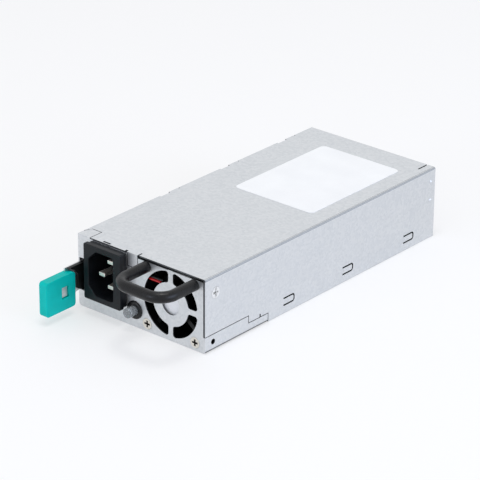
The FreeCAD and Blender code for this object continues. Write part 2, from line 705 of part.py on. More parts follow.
def make_tray():
    body = new_body("chassis")
    tray_inside = s.tray_bend_radius - s.sheet_thickness

    # Floor, left wall and a low right flange. At the front the flange stands out flush with the
    # cover's side; behind that it runs inside the cover.
    def tray_profile(name, start, right, height):
        profile = new_sketch(body, name, "XZ_Plane", -start)
        outline(profile, [
            (s.sheet_thickness, roof), (s.sheet_thickness, floor, tray_inside),
            (right - s.sheet_thickness, floor, s.bend_radius - s.sheet_thickness),
            (right - s.sheet_thickness, height), (right, height),
            (right, 0, s.bend_radius), (0, 0, s.tray_bend_radius), (0, roof)])
        return profile

    rear = tray_profile("rear_tray", s.strip_length, flange_right, s.flange_height)
    pad(body, rear, s.case_length - s.strip_length, backwards=True)
    front = tray_profile("front_tray", as_size(0), case_right, s.strip_height)
    pad(body, front, s.strip_length, backwards=True)

    step = new_sketch(body, "strip_step", "YZ_Plane", case_right)
    rectangle(step, (s.strip_step, s.strip_low_height), (s.strip_length, s.flange_height))
    pocket(body, step, s.sheet_thickness + s.seam_gap)
    relief = new_sketch(body, "flange_relief", "YZ_Plane", case_right)
    rectangle(relief, (s.case_length - s.sheet_thickness - s.seam_gap, floor),
              (s.case_length + s.seam_gap, s.flange_height + s.seam_gap))
    pocket(body, relief, s.seam_gap + s.sheet_thickness + s.bend_radius)

    # Windows in the flange, behind the tabs of the cover that lock into it.
    windows = new_sketch(body, "flange_windows", "YZ_Plane", flange_right)
    for start in side_tab_places():
        rectangle(windows, (start - s.tab_window_gap, s.side_tab_z - s.tab_window_gap),
                  (start + s.side_tab_length + s.tab_window_gap,
                   s.side_tab_z + s.side_tab_height + s.tab_window_gap))
    pocket(body, windows, s.sheet_thickness)

    # Front panel, bent up from the floor, with a notch for the cover's tab and its own right
    # edge folded back inside the cover.
    panel = new_sketch(body, "front_panel", "XZ_Plane")
    panel_top = roof - s.panel_top_gap
    tab_left = front_tab_left - s.seam_gap
    tab_right = front_tab_left + s.front_tab_width + s.seam_gap
    tab_bottom = case_top - s.front_tab_height - s.seam_gap
    outline(panel, [
        (0, 0, s.tray_bend_radius), (case_right, 0, s.bend_radius), (case_right, s.strip_height),
        (flange_right, s.strip_height), (flange_right, panel_top), (tab_right, panel_top),
        (tab_right, tab_bottom), (tab_left, tab_bottom), (tab_left, roof), (0, roof)])
    pad(body, panel, s.sheet_thickness, backwards=True)
    folded = new_sketch(body, "panel_return", "XZ_Plane")
    rectangle(folded, (flange_right - s.sheet_thickness, s.strip_height + s.seam_gap),
              (flange_right, panel_top))
    pad(body, folded, s.panel_return, backwards=True)
    tab = new_sketch(body, "corner_tab", "XY_Plane", roof)
    outline(tab, [
        (0, 0), (s.corner_tab, 0), (s.corner_tab, s.corner_tab),
        (s.corner_tab_nose, s.corner_tab), (0, s.corner_tab - s.corner_tab_slant)])
    pad(body, tab, s.sheet_thickness)

    # Openings in the panel: AC inlet, status light, latch slot, then the fan's grille.
    openings = new_sketch(body, "panel_openings", "XZ_Plane")
    low, high = inlet_body_box()
    rectangle(openings, [side - s.fit_gap for side in low], [side + s.fit_gap for side in high])
    circle(openings, light_x, s.light_z, s.bush_shank_radius + s.fit_gap)
    rectangle(openings, (s.sheet_thickness, s.slot_bottom),
              (s.sheet_thickness + s.slot_width, s.slot_bottom + s.slot_height))
    circle(openings, fan_x, fan_z, duct_radius)
    for x, z in screw_places()[1]:
        circle(openings, x, z, s.screw_radius + s.screw_hole_gap)
    pocket(body, openings, s.sheet_thickness)
    for side, (x, z) in zip(("left", "right"), screw_places()[0]):
        countersink = new_sketch(body, f"{side}_fan_screw", "XZ_Plane")
        circle(countersink, x, z, s.screw_head_radius + s.fit_gap)
        pocket(body, countersink, s.sheet_thickness, taper=-40)

    # The grille: a disc with an eye, held by four webs.
    disc = new_sketch(body, "grille_disc", "XZ_Plane")
    circle(disc, fan_x, fan_z, motor_radius + s.grille_cover)
    pad(body, disc, s.sheet_thickness, backwards=True)
    webs = new_sketch(body, "grille_webs", "XZ_Plane")
    half, reach = s.grille_web / 2, duct_radius + s.sheet_thickness
    outline(webs, [
        (fan_x - half, fan_z - reach), (fan_x + half, fan_z - reach),
        (fan_x + half, fan_z - half), (fan_x + reach, fan_z - half),
        (fan_x + reach, fan_z + half), (fan_x + half, fan_z + half),
        (fan_x + half, fan_z + reach), (fan_x - half, fan_z + reach),
        (fan_x - half, fan_z + half), (fan_x - reach, fan_z + half),
        (fan_x - reach, fan_z - half), (fan_x - half, fan_z - half)])
    last = pad(body, webs, s.sheet_thickness, backwards=True)
    middle = V(fan_x.value, 0, fan_z.value)

    def grille_corner(edge):
        if abs(edge.Length - s.sheet_thickness.value) > 0.01 or len(edge.Vertexes) < 2:
            return False
        centre = edge.CenterOfMass
        away = (V(centre.x, 0, centre.z) - middle).Length
        along_y = abs(edge.Vertexes[0].Y - edge.Vertexes[1].Y) > s.sheet_thickness.value * 0.9
        return along_y and away < duct_radius.value + 0.1

    fillet(body, last, s.grille_corner, grille_corner)
    eye = new_sketch(body, "grille_eye", "XZ_Plane")
    circle(eye, fan_x, fan_z, s.grille_eye_radius)
    pocket(body, eye, s.sheet_thickness)

    # Side openings: a hole in the strip, the cover screw's hole in the folded edge, the catch's
    # window and the leaf's rivet holes in the left wall.
    strip_hole = new_sketch(body, "strip_hole", "YZ_Plane", case_right)
    circle(strip_hole, s.side_hole_y, s.side_hole_z, s.side_hole_radius)
    pocket(body, strip_hole, s.sheet_thickness)
    screw_hole = new_sketch(body, "cover_screw_hole", "YZ_Plane", flange_right)
    circle(screw_hole, s.cover_screw_y, s.cover_screw_z, s.screw_radius + s.screw_hole_gap)
    pocket(body, screw_hole, s.sheet_thickness)
    wall = new_sketch(body, "left_wall_openings", "YZ_Plane", s.sheet_thickness)
    low, high = catch_window()
    rectangle(wall, low, high)
    for y, z in rivet_places():
        circle(wall, y, z, s.rivet_radius + s.fit_gap / 2)
    pocket(body, wall, s.sheet_thickness)
    place_in_case(body, "chassis")


def make_cover():
    body = new_body("cover")
    shell = new_sketch(body, "cover_profile", "XZ_Plane")
    inside = s.bend_radius - s.sheet_thickness
    side_inner = case_right - s.sheet_thickness
    outline(shell, [
        (0, case_top), (0, roof), (side_inner, roof, inside), (side_inner, 0), (case_right, 0),
        (case_right, case_top, s.bend_radius)])
    pad(body, shell, s.case_length, backwards=True)

    # The side's lower edge follows the tray's strip, an open seam away from it.
    edge = new_sketch(body, "side_edge", "YZ_Plane", case_right)
    beyond = -s.sheet_thickness
    gap = s.seam_gap
    outline(edge, [
        (beyond, beyond), (s.strip_length + gap, beyond),
        (s.strip_length + gap, s.strip_low_height + gap),
        (s.strip_notch + s.strip_notch_width, s.strip_low_height + gap),
        (s.strip_notch + s.strip_notch_width, s.strip_low_height + s.strip_notch_height),
        (s.strip_notch, s.strip_low_height + s.strip_notch_height),
        (s.strip_notch, s.strip_low_height + gap),
        (s.strip_step + gap, s.strip_low_height + gap), (s.strip_step + gap, s.strip_height + gap),
        (beyond, s.strip_height + gap)])
    pocket(body, edge, s.sheet_thickness)

    # The top's front edge: a notch round the tray's corner tab, a slot and a small square notch
    # over the inlet, a tab folded down over the panel, and a set-back stretch over the fan.
    top = new_sketch(body, "front_edge", "XY_Plane", case_top)
    tab_side = s.corner_tab + gap
    outline(top, [
        (-gap, -gap), (tab_side, -gap), (tab_side, tab_side), (s.corner_tab_nose, tab_side),
        (-gap, s.corner_tab - s.corner_tab_slant + gap)])
    rectangle(top, (s.top_slot_left, s.cover_setback),
              (s.top_slot_left + s.top_slot_width, s.cover_setback + s.top_slot_depth))
    notch_right = front_tab_left - s.cover_setback
    rectangle(top, (notch_right - s.top_notch, beyond), (notch_right, s.top_notch))
    tab_right = front_tab_left + s.front_tab_width
    outline(top, [
        (tab_right, beyond), (case_right + gap, beyond), (case_right + gap, s.cover_setback),
        (tab_right + s.tab_relief, s.cover_setback), (tab_right + s.tab_relief, s.tab_relief_depth),
        (tab_right, s.tab_relief_depth)])
    slit_left = case_right - s.rear_slit_inset
    rectangle(top, (slit_left, s.case_length - s.rear_slit_length),
              (slit_left + s.rear_slit_width, s.case_length + gap))
    pocket(body, top, s.sheet_thickness)
    tab = new_sketch(body, "front_tab", "XZ_Plane")
    rectangle(tab, (front_tab_left, case_top - s.front_tab_height), (tab_right, roof))
    pad(body, tab, s.sheet_thickness, backwards=True)

    # Left edge: three notches, each with a hook tab behind it that reaches inside the tray's wall.
    notch = new_sketch(body, "edge_notch", "XY_Plane", case_top)
    first = s.edge_tab_first
    tab_start = first + s.edge_notch_length + s.edge_relief
    rectangle(notch, (-gap, first), (s.edge_notch_depth, first + s.edge_notch_length))
    rectangle(notch, (-gap, tab_start + s.edge_tab_length),
              (s.edge_notch_depth, tab_start + s.edge_tab_length + s.edge_relief))
    spacing = (s.case_length - s.edge_tab_last - first) / 2
    linear_pattern(body, pocket(body, notch, s.sheet_thickness), "Y_Axis", 3, spacing)
    hook = new_sketch(body, "edge_hook", "XY_Plane", roof - s.edge_tab_drop)
    hook_left = s.sheet_thickness + s.fit_gap
    rectangle(hook, (hook_left, tab_start), (hook_left + s.sheet_thickness, tab_start + s.edge_tab_length))
    linear_pattern(body, pad(body, hook, s.edge_tab_drop), "Y_Axis", 3, spacing)

    # Right side: three tabs cut free on three sides and pressed in behind the tray's flange line.
    tabs = new_sketch(body, "side_tabs", "YZ_Plane", case_right)
    low, high = s.side_tab_z, s.side_tab_z + s.side_tab_height
    edge = s.side_tab_cut
    for start in side_tab_places():
        end = start + s.side_tab_length
        outline(tabs, [
            (start, low + edge), (end - edge, low + edge, edge), (end - edge, high - edge, edge),
            (start, high - edge), (start, high), (end, high, edge * 2), (end, low, edge * 2),
            (start, low)])
    pocket(body, tabs, s.sheet_thickness)

    # The side's rear edge folds behind the case, its corners rounded.
    fold = new_sketch(body, "rear_return", "XZ_Plane", s.sheet_thickness - s.case_length)
    rectangle(fold, (case_right - s.rear_return, s.sheet_thickness + s.seam_gap),
              (case_right - s.sheet_thickness / 2, roof - s.seam_gap))
    last = pad(body, fold, s.sheet_thickness, backwards=True)
    inner = case_right - s.rear_return

    def return_corner(edge):
        centre = edge.CenterOfMass
        flat = abs(edge.BoundBox.YLength - s.sheet_thickness.value) < 0.01
        return flat and edge.Length < s.sheet_thickness.value * 1.1 and abs(centre.x - inner.value) < 0.01

    fillet(body, last, s.rear_return_corner, return_corner)
    dimples = new_sketch(body, "dimples", "YZ_Plane", case_right)
    for z in (s.dimple_upper_z, s.dimple_lower_z):
        circle(dimples, s.case_length - s.dimple_inset, z, s.dimple_radius)
    raised = pad(body, dimples, s.dimple_height)
    raised.TaperAngle = -45
    countersink = new_sketch(body, "cover_screw_seat", "YZ_Plane", case_right)
    circle(countersink, s.cover_screw_y, s.cover_screw_z, s.screw_head_radius + s.fit_gap)
    pocket(body, countersink, s.sheet_thickness, taper=-40)
    place_in_case(body, "cover")


def make_rear_panel():
    """A vented plate inside the case's rear edge, with a foot on the tray's floor."""
    body = new_body("rear_panel")
    left = s.sheet_thickness + s.fit_gap
    right = flange_right - s.sheet_thickness - s.fit_gap
    front = rear_panel_front
    plate = new_sketch(body, "rear_plate", "XZ_Plane", -front)
    outline(plate, [
        (left, floor, s.tray_bend_radius), (right, floor, s.tray_bend_radius),
        (right, roof), (left, roof)])
    pad(body, plate, s.sheet_thickness, backwards=True)
    foot = new_sketch(body, "rear_foot", "XY_Plane", floor)
    rectangle(foot, (s.card_left, front - s.rear_foot), (s.card_left + s.card_width, front))
    pad(body, foot, s.sheet_thickness)
    openings = new_sketch(body, "card_opening", "XZ_Plane", -front)
    rectangle(openings, (s.card_left - s.card_slot_gap, s.card_slot_bottom),
              (s.card_left + s.card_width + s.card_slot_gap, s.card_slot_bottom + s.card_slot_height))
    pocket(body, openings, s.sheet_thickness)
    # Rows of long hexagonal vents, spread over the width and the height that the panel leaves.
    column = new_sketch(body, "vent_column", "XZ_Plane", -front)
    height = (roof - s.vent_top - s.vent_bottom - s.vent_web * 2) / 3
    left, right, point = s.vent_left, s.vent_left + s.vent_width, s.vent_width * 0.3
    middle = s.vent_left + s.vent_width / 2
    for row in range(3):
        low = s.vent_bottom + (height + s.vent_web) * row
        high = low + height
        outline(column, [
            (middle, low), (right, low + point), (right, high - point), (middle, high),
            (left, high - point), (left, low + point)])
    pitch = (s.case_width - s.vent_right - right) / (s.vent_columns - 1)
    linear_pattern(body, pocket(body, column, s.sheet_thickness), "X_Axis", s.vent_columns, pitch)
    place_in_case(body, "rear_panel")


# ---------------------------------------------------------------- release latch

def rivet_places():
    """Rivets of the leaf's foot, as y and z."""
    y = s.bend_line + s.foot_length / 2
    middle = (s.leaf_bottom + s.leaf_top) / 2
    return [(y, middle - s.rivet_spacing / 2), (y, middle + s.rivet_spacing / 2)]


def catch_window():
    """The left wall's window round the latch's catch, as low and high corners in y and z."""
    middle = (s.leaf_bottom + s.leaf_top) / 2
    half = s.catch_height / 2 + s.catch_window_gap
    low = (s.catch_front - s.catch_window_gap, middle - half)
    high = (s.catch_front + s.catch_length + s.catch_window_gap, middle + half)
    return low, high


def make_latch():
    leaf_inner = s.sheet_thickness + s.leaf_gap
    leaf_outer = leaf_inner + s.leaf_thickness
    middle = (s.leaf_bottom + s.leaf_top) / 2

    # The moving leaf: full height from the bend line to just past the panel, then a tongue.
    leaf = new_body("latch_leaf")
    plan = new_sketch(leaf, "leaf_side", "YZ_Plane", leaf_inner)
    tongue_top = s.tongue_bottom + s.tongue_height
    outline(plan, [
        (s.bend_line - s.bend_line_gap, s.leaf_bottom), (s.bend_line - s.bend_line_gap, s.leaf_top),
        (-s.leaf_reach, s.leaf_top), (-s.leaf_reach, tongue_top), (-s.tongue_reach, tongue_top),
        (-s.tongue_reach, s.tongue_bottom), (-s.leaf_reach / 2, s.tongue_bottom),
        (0, s.leaf_bottom)])
    pad(leaf, plan, s.leaf_thickness)
    # The catch: a wedge that rises towards the front edge, so the supply latches as it slides in.
    catch = new_sketch(leaf, "catch_wedge", "XY_Plane", middle - s.catch_height / 2)
    outline(catch, [
        (leaf_inner, s.catch_front), (-s.catch_proud, s.catch_front),
        (-s.catch_proud, s.catch_front + s.catch_length / 4),
        (leaf_inner, s.catch_front + s.catch_length)])
    pad(leaf, catch, s.catch_height)
    # A barb pressed out of the tongue locks into the grip's window and shows in it.
    barb = new_sketch(leaf, "barb", "YZ_Plane", leaf_outer)
    rectangle(barb, (-s.window_front + s.barb_gap, s.window_bottom + s.barb_gap),
              (-s.window_front + s.window_length - s.barb_gap,
               s.window_bottom + s.window_height - s.barb_gap))
    grip_face = leaf_inner - s.grip_skin + s.grip_thickness
    pad(leaf, barb, grip_face - s.barb_depth - leaf_outer)
    place_in_case(leaf, "latch_leaf")

    foot = block((leaf_inner - s.leaf_gap, s.bend_line, s.leaf_bottom),
                 (leaf_outer - s.leaf_gap, s.bend_line + s.foot_length, s.leaf_top))
    holes = [cylinder(s.rivet_radius + s.fit_gap / 2, (0, y, z), leaf_outer * 2, ALONG_X)
             for y, z in rivet_places()]
    place_in_case(cut(foot, *holes), "latch_foot")
    rivets = []
    for y, z in rivet_places():
        shank = cylinder(s.rivet_radius, (0, y, z), leaf_outer - s.leaf_gap, ALONG_X)
        head = cylinder(s.rivet_head_radius, (leaf_outer - s.leaf_gap, y, z), s.rivet_head, ALONG_X)
        rivets.append(fuse(shank, head))
    place_in_case(group(*rivets), "latch_rivets")

    # The moulded arm on the leaf: it fills the slot and runs out to a raked point.
    arm = new_body("latch_arm")
    side = new_sketch(arm, "arm_side", "YZ_Plane", leaf_outer)
    top = s.leaf_top
    grip_top = s.grip_bottom + s.grip_height
    outline(side, [
        (s.arm_tail, s.leaf_bottom), (s.arm_tail, top), (-s.arm_reach, top),
        (-s.grip_rear, grip_top + s.arm_lip), (-s.grip_rear + s.arm_lip * 2, grip_top),
        (-s.arm_neck, grip_top - s.grip_corner * 2), (-s.arm_neck, s.leaf_bottom + s.grip_corner),
        (-s.sheet_thickness, s.leaf_bottom)])
    pad(arm, side, s.arm_thickness)
    place_in_case(arm, "latch_arm")

    # The grip: a rounded plate moulded round the tongue, with a window that shows the tongue.
    grip = new_body("latch_grip")
    plate = new_sketch(grip, "grip_side", "YZ_Plane", leaf_inner - s.grip_skin)
    rectangle(plate, (-s.grip_front, s.grip_bottom), (-s.grip_rear, s.grip_bottom + s.grip_height),
              s.grip_corner)
    pad(grip, plate, s.grip_thickness)
    hollow = new_sketch(grip, "tongue_hollow", "YZ_Plane", leaf_outer)
    outline(hollow, [
        (-s.tongue_reach, s.tongue_bottom), (-s.leaf_reach, s.tongue_bottom),
        (-s.grip_rear + s.fit_gap, s.tongue_bottom), (-s.grip_rear + s.fit_gap, case_top),
        (-s.leaf_reach, case_top), (-s.leaf_reach, tongue_top), (-s.tongue_reach, tongue_top)])
    pocket(grip, hollow, s.leaf_thickness)
    window = new_sketch(grip, "grip_window", "YZ_Plane", grip_face)
    rectangle(window, (-s.window_front, s.window_bottom),
              (-s.window_front + s.window_length, s.window_bottom + s.window_height))
    pocket(grip, window, grip_face - leaf_outer)
    place_in_case(grip, "latch_grip")


# ---------------------------------------------------------------- handle

def make_handle():
    body = new_body("handle")
    upper = screw_places()[1]
    (left, z), (right, _) = upper
    front = s.handle_radius - s.handle_reach
    bend = s.handle_corner
    path = new_sketch(body, "handle_path", "XY_Plane", z)
    points = [V(left.value, 0, 0), V(left.value, (front + bend).value, 0),
              V((left + bend).value, front.value, 0), V((right - bend).value, front.value, 0),
              V(right.value, (front + bend).value, 0), V(right.value, 0, 0)]
    turn = math.sqrt(0.5) * bend.value
    left_middle = V(left.value + bend.value - turn, front.value + bend.value - turn, 0)
    right_middle = V(right.value - bend.value + turn, front.value + bend.value - turn, 0)
    parts = [path.addGeometry(shape, False) for shape in (
        Part.LineSegment(points[0], points[1]), Part.Arc(points[1], left_middle, points[2]),
        Part.LineSegment(points[2], points[3]), Part.Arc(points[3], right_middle, points[4]),
        Part.LineSegment(points[4], points[5]))]
    for before, after, joint in zip(parts, parts[1:], points[1:]):
        ends = [1 if (path.Geometry[piece].StartPoint - joint).Length < 1e-6 else 2
                for piece in (before, after)]
        path.addConstraint(Sketcher.Constraint("Tangent", before, ends[0], after, ends[1]))
    pin(path, parts[0], 1, (left, as_size(0)))
    pin(path, parts[4], 2, (right, as_size(0)))
    path.addConstraint(Sketcher.Constraint("Vertical", parts[0]))
    path.addConstraint(Sketcher.Constraint("Vertical", parts[4]))
    path.addConstraint(Sketcher.Constraint("Horizontal", parts[2]))
    constrain(path, "Radius", parts[1], size=bend)
    constrain(path, "Radius", parts[3], size=bend)
    constrain(path, "DistanceY", -1, 1, parts[2], 1, size=front)
    section = new_sketch(body, "handle_section", "XZ_Plane")
    circle(section, left, z, s.handle_radius)
    feature(body, "AdditivePipe", "handle_bar", Profile=section, Spine=(path, []))
    doc.recompute()
    bores = new_sketch(body, "handle_bores", "XZ_Plane", s.handle_bore_depth)
    for x, height in upper:
        circle(bores, x, height, s.screw_radius + s.screw_hole_gap / 4)
    pocket(body, bores, s.handle_bore_depth)
    place_in_case(body, "handle")

    # Pan-headed screws from inside the fan's front flange, through the panel into the bar's ends.
    seat = panel_back + s.fan_flange
    screws = []
    for x, height in upper:
        head = cylinder(s.pan_head_radius, (x, seat, height), s.pan_head_height, ALONG_Y)
        length = s.handle_screw_length
        shank = cylinder(s.screw_radius, (x, seat - length, height), length, ALONG_Y)
        screws.append(fuse(head, shank))
    place_in_case(group(*screws), "handle_screws")


# ---------------------------------------------------------------- fan

def fan_point(depth):
    """A point on the fan's axis, measured back from the panel's inner face."""
    return fan_x, panel_back + depth, fan_z


def make_fan_frame():
    # Drawn with its axis along Z and its front face at the origin.
    body = new_body("fan_frame")
    half, pitch = fan_side / 2, fan_hole_pitch / 2
    rounding = s.fan_hole_radius * 1.6

    def square(name, start):
        plan = new_sketch(body, name, "XY_Plane", start)
        rectangle(plan, (-half, -half), (half, half), rounding)
        pad(body, plan, s.fan_flange)

    square("front_flange", as_size(0))
    tube = new_sketch(body, "duct_tube", "XY_Plane")
    circle(tube, 0, 0, duct_radius + s.duct_wall)
    pad(body, tube, s.fan_depth)
    square("rear_flange", s.fan_depth - s.fan_flange)
    duct = new_sketch(body, "duct", "XY_Plane", s.fan_depth)
    circle(duct, 0, 0, duct_radius)
    for x in (-pitch, pitch):
        for y in (-pitch, pitch):
            circle(duct, x, y, s.fan_hole_radius)
    pocket(body, duct, s.fan_depth)

    # The motor base hangs on four struts behind the front face; its bearing tube reaches back.
    base = new_sketch(body, "motor_base", "XY_Plane", s.motor_setback)
    circle(base, 0, 0, motor_radius)
    pad(body, base, s.motor_base)
    strut = new_sketch(body, "strut", "XY_Plane", lead_room())
    bind(strut, "AttachmentOffset.Rotation.Angle", s.strut_angle)
    rectangle(strut, (-duct_radius - s.duct_wall / 2, -s.strut_width / 2), (0, s.strut_width / 2))
    arm = pad(body, strut, s.motor_setback + s.motor_base - lead_room())
    polar_pattern(body, arm, 4)
    bearing = new_sketch(body, "bearing", "XY_Plane", s.motor_setback + s.motor_base)
    circle(bearing, 0, 0, s.bearing_radius)
    circle(bearing, 0, 0, s.shaft_radius + s.shaft_gap)
    pad(body, bearing, s.bearing_length)
    notch = new_sketch(body, "lead_notch", "XY_Plane", s.fan_flange)
    low, high = lead_notch()
    rectangle(notch, low, high)
    pocket(body, notch, s.fan_flange)
    place_in_case(body, "fan_frame", fan_point(0), ALONG_Y)


def lead_room():
    """Depth in front of the struts that the motor's leads run in."""
    return s.motor_setback + s.lead_radius * 2 + s.fit_gap


def lead_notch():
    """The frame's notch for the fan's leads, on its left side, in the fan's own x and y."""
    half = fan_side / 2
    room = s.lead_radius * 3
    return (-half - s.fit_gap, -s.lead_rise - room), (-half * 0.7, -s.lead_rise + room)


def make_fan_rotor():
    # A cup over the bearing tube, with a shaft in it and twisted blades round it.
    body = new_body("fan_rotor")
    start = s.motor_setback + s.motor_base + s.rotor_gap
    end = start + s.rotor_length
    cup = new_sketch(body, "rotor_cup", "XZ_Plane")
    inside = rotor_radius - s.rotor_wall
    edge = s.rotor_wall / 2
    outline(cup, [
        (0, start - s.rotor_gap), (s.shaft_radius, start - s.rotor_gap),
        (s.shaft_radius, end - s.rotor_wall), (inside, end - s.rotor_wall), (inside, start),
        (rotor_radius, start), (rotor_radius, end - edge), (rotor_radius - edge, end), (0, end)])
    revolve(body, cup)
    sections = []
    middle = start + s.rotor_length / 2
    inner = rotor_radius - s.rotor_wall / 2
    outer = duct_radius - s.tip_gap
    for name, radius, angle in (("root", inner, s.blade_root_angle),
                                ("tip", duct_radius, s.blade_tip_angle)):
        section = new_sketch(body, f"blade_{name}", "YZ_Plane", radius)
        bind(section, "AttachmentOffset.Base.y", middle)
        bind(section, "AttachmentOffset.Rotation.Angle", angle)
        rectangle(section, (-s.blade_chord / 2, -s.blade_thickness / 2),
                  (s.blade_chord / 2, s.blade_thickness / 2))
        sections.append(section)
    blade = feature(body, "AdditiveLoft", "blade", Profile=sections[0], Sections=sections[1:],
                    Ruled=True)
    doc.recompute()
    polar_pattern(body, blade, s.blade_count)
    # The tips are trimmed to a cylinder inside the duct.
    trim = new_sketch(body, "tip_trim", "XY_Plane", end)
    circle(trim, 0, 0, fan_side)
    circle(trim, 0, 0, outer)
    pocket(body, trim, s.rotor_length)
    place_in_case(body, "fan_rotor", fan_point(0), ALONG_Y)


def make_fan():
    make_fan_frame()
    make_fan_rotor()
    label = cylinder(motor_radius - s.hub_label_inset, (0, 0, 0), s.paper_thickness)
    place_in_case(label, "fan_label", fan_point(s.motor_setback - s.paper_thickness), ALONG_Y)
    screws = [countersunk_screw((x, 0, z), s.fan_screw_length, ALONG_Y) for x, z in screw_places()[0]]
    place_in_case(group(*screws), "fan_screws")


def make_fan_leads():
    """Red and black leads from the motor base through the frame's notch down to the fan plug."""
    depth = panel_back + s.motor_setback + s.lead_radius
    frame_left = fan_x - fan_side / 2
    outside = frame_left - s.lead_radius * 3
    plug_top = board_top + s.header_high + s.plug_stands_out
    plug_x = s.header_x + s.header_wide / 2
    plug_y = s.header_y + s.header_deep / 2
    notch_z = fan_z + s.lead_rise
    for name, side in (("fan_lead_red", -1), ("fan_lead_black", 1)):
        up = s.lead_radius * 1.15 * side
        route = [
            (fan_x - motor_radius * (0.665 - 0.075 * side), depth, notch_z + up),
            (outside, depth, notch_z + up),
            (outside - 0.5 + up / 2, 19, notch_z - 3.5 + up),
            (plug_x + up, plug_y, notch_z - 5 + up),
            (plug_x + up, plug_y, plug_top),
        ]
        lead = doc.addObject("Part::Feature", name)
        lead.Shape = round_tube([V(*(as_size(n).value for n in point)) for point in route],
                                s.lead_radius.value, name)
        place_in_case(lead, name)


def round_tube(points, radius, name):
    """A tube along straight runs joined by tangent arcs, each as large as its two runs allow."""
    edges = []
    radii = []
    start = points[0]
    for before, here, after in zip(points, points[1:], points[2:]):
        back, ahead = (before - here).normalize(), (after - here).normalize()
        half_turn = (math.pi - back.getAngle(ahead)) / 2
        reach = 0.45 * min((before - here).Length, (after - here).Length)
        bend = reach / math.tan(half_turn)
        middle = here + (back + ahead).normalize() * (bend / math.cos(half_turn) - bend)
        first, last = here + back * reach, here + ahead * reach
        edges += [Part.LineSegment(start, first).toShape(), Part.Arc(first, middle, last).toShape()]
        radii.append(round(bend, 1))
        start = last
    edges.append(Part.LineSegment(start, points[-1]).toShape())
    path = Part.Wire(edges)
    section = Part.Wire([Part.makeCircle(radius, points[0], points[1] - points[0])])
    tube = path.makePipeShell([section], True, False)
    wanted = math.pi * radius ** 2 * path.Length
    print(f"{name}: length {path.Length:.1f}, bend radii {radii}, volume {tube.Volume / wanted:.4f} of its section")
    return tube


# ---------------------------------------------------------------- AC inlet and status light

def make_inlet():
    body = new_body("ac_inlet")
    low = (s.inlet_left, inlet_bottom)
    high = (s.inlet_left + s.inlet_width, inlet_bottom + s.inlet_height)
    rim = new_sketch(body, "bezel_rim", "XZ_Plane", s.inlet_proud)
    rectangle(rim, low, high, s.bezel_corner)
    pad(body, rim, s.bezel_rim, backwards=True)
    step = s.bezel_step
    base = new_sketch(body, "bezel_base", "XZ_Plane", s.inlet_proud - s.bezel_rim)
    rectangle(base, [side + step for side in low], [side - step for side in high], s.bezel_corner)
    pad(body, base, s.inlet_proud - s.bezel_rim, backwards=True)
    inner_low, inner_high = inlet_body_box()
    back = s.recess_depth + s.inlet_back - s.inlet_proud
    rear = new_sketch(body, "inlet_body", "XZ_Plane")
    rectangle(rear, inner_low, inner_high)
    pad(body, rear, back, backwards=True)
    recess = new_sketch(body, "plug_recess", "XZ_Plane", s.inlet_proud)
    left = s.inlet_left + s.recess_left
    right = left + s.recess_width
    middle = inlet_bottom + s.inlet_height / 2
    bottom, top = middle - s.recess_height / 2, middle + s.recess_height / 2
    outline(recess, [
        (left + s.recess_chamfer, bottom), (right, bottom, s.recess_corner),
        (right, top, s.recess_corner), (left + s.recess_chamfer, top),
        (left, top - s.recess_chamfer), (left, bottom + s.recess_chamfer)])
    pocket(body, recess, s.recess_depth)
    # Slits for the three contact blades in the wall behind the recess.
    slits = new_sketch(body, "blade_slits", "XZ_Plane", s.inlet_proud - s.recess_depth)
    for x, z in blade_places():
        rectangle(slits, (x - s.blade_wide / 2, z - s.blade_thin / 2),
                  (x + s.blade_wide / 2, z + s.blade_thin / 2))
    pocket(body, slits, s.inlet_back)
    place_in_case(body, "ac_inlet")


def blade_places():
    """Middle of each contact blade as x and z: line, neutral, earth."""
    x = s.inlet_left + s.recess_left + s.recess_width - s.blade_inset
    z = inlet_bottom + s.inlet_height / 2
    return [(x, z + s.blade_pitch / 2), (x, z - s.blade_pitch / 2), (x - s.blade_offset, z)]


def make_blades():
    """Contact blades: a bevelled tip in the recess, and behind the inlet a tail bent down to the board."""
    back = s.recess_depth + s.inlet_back - s.inlet_proud
    blades = []
    for number, (x, z) in enumerate(blade_places()):
        tip = s.blade_tip_depth - s.inlet_proud
        if number == 2:
            tip = tip - s.earth_lead
        tail_front = back + s.tail_step * (2 - number if number < 2 else 0)
        low_z, high_z = z - s.blade_thin / 2, z + s.blade_thin / 2
        left, right = x - s.blade_wide / 2, x + s.blade_wide / 2
        stem = block((left, tip, low_z), (right, tail_front + s.tail_thin, high_z))
        tail_left = left + s.blade_wide / 4
        tail = block((tail_left, tail_front, board_bottom - s.tail_thin),
                     (tail_left + s.blade_wide / 2, tail_front + s.tail_thin, high_z))
        blades.append(fuse(stem, tail))
    place_in_case(group(*blades), "inlet_blades")


def tail_places():
    """Where each solder tail passes through the board, as x and y of its low corner."""
    back = s.recess_depth + s.inlet_back - s.inlet_proud
    places = []
    for number, (x, _) in enumerate(blade_places()):
        tail_front = back + s.tail_step * (2 - number if number < 2 else 0)
        places.append((x - s.blade_wide / 4, tail_front))
    return places


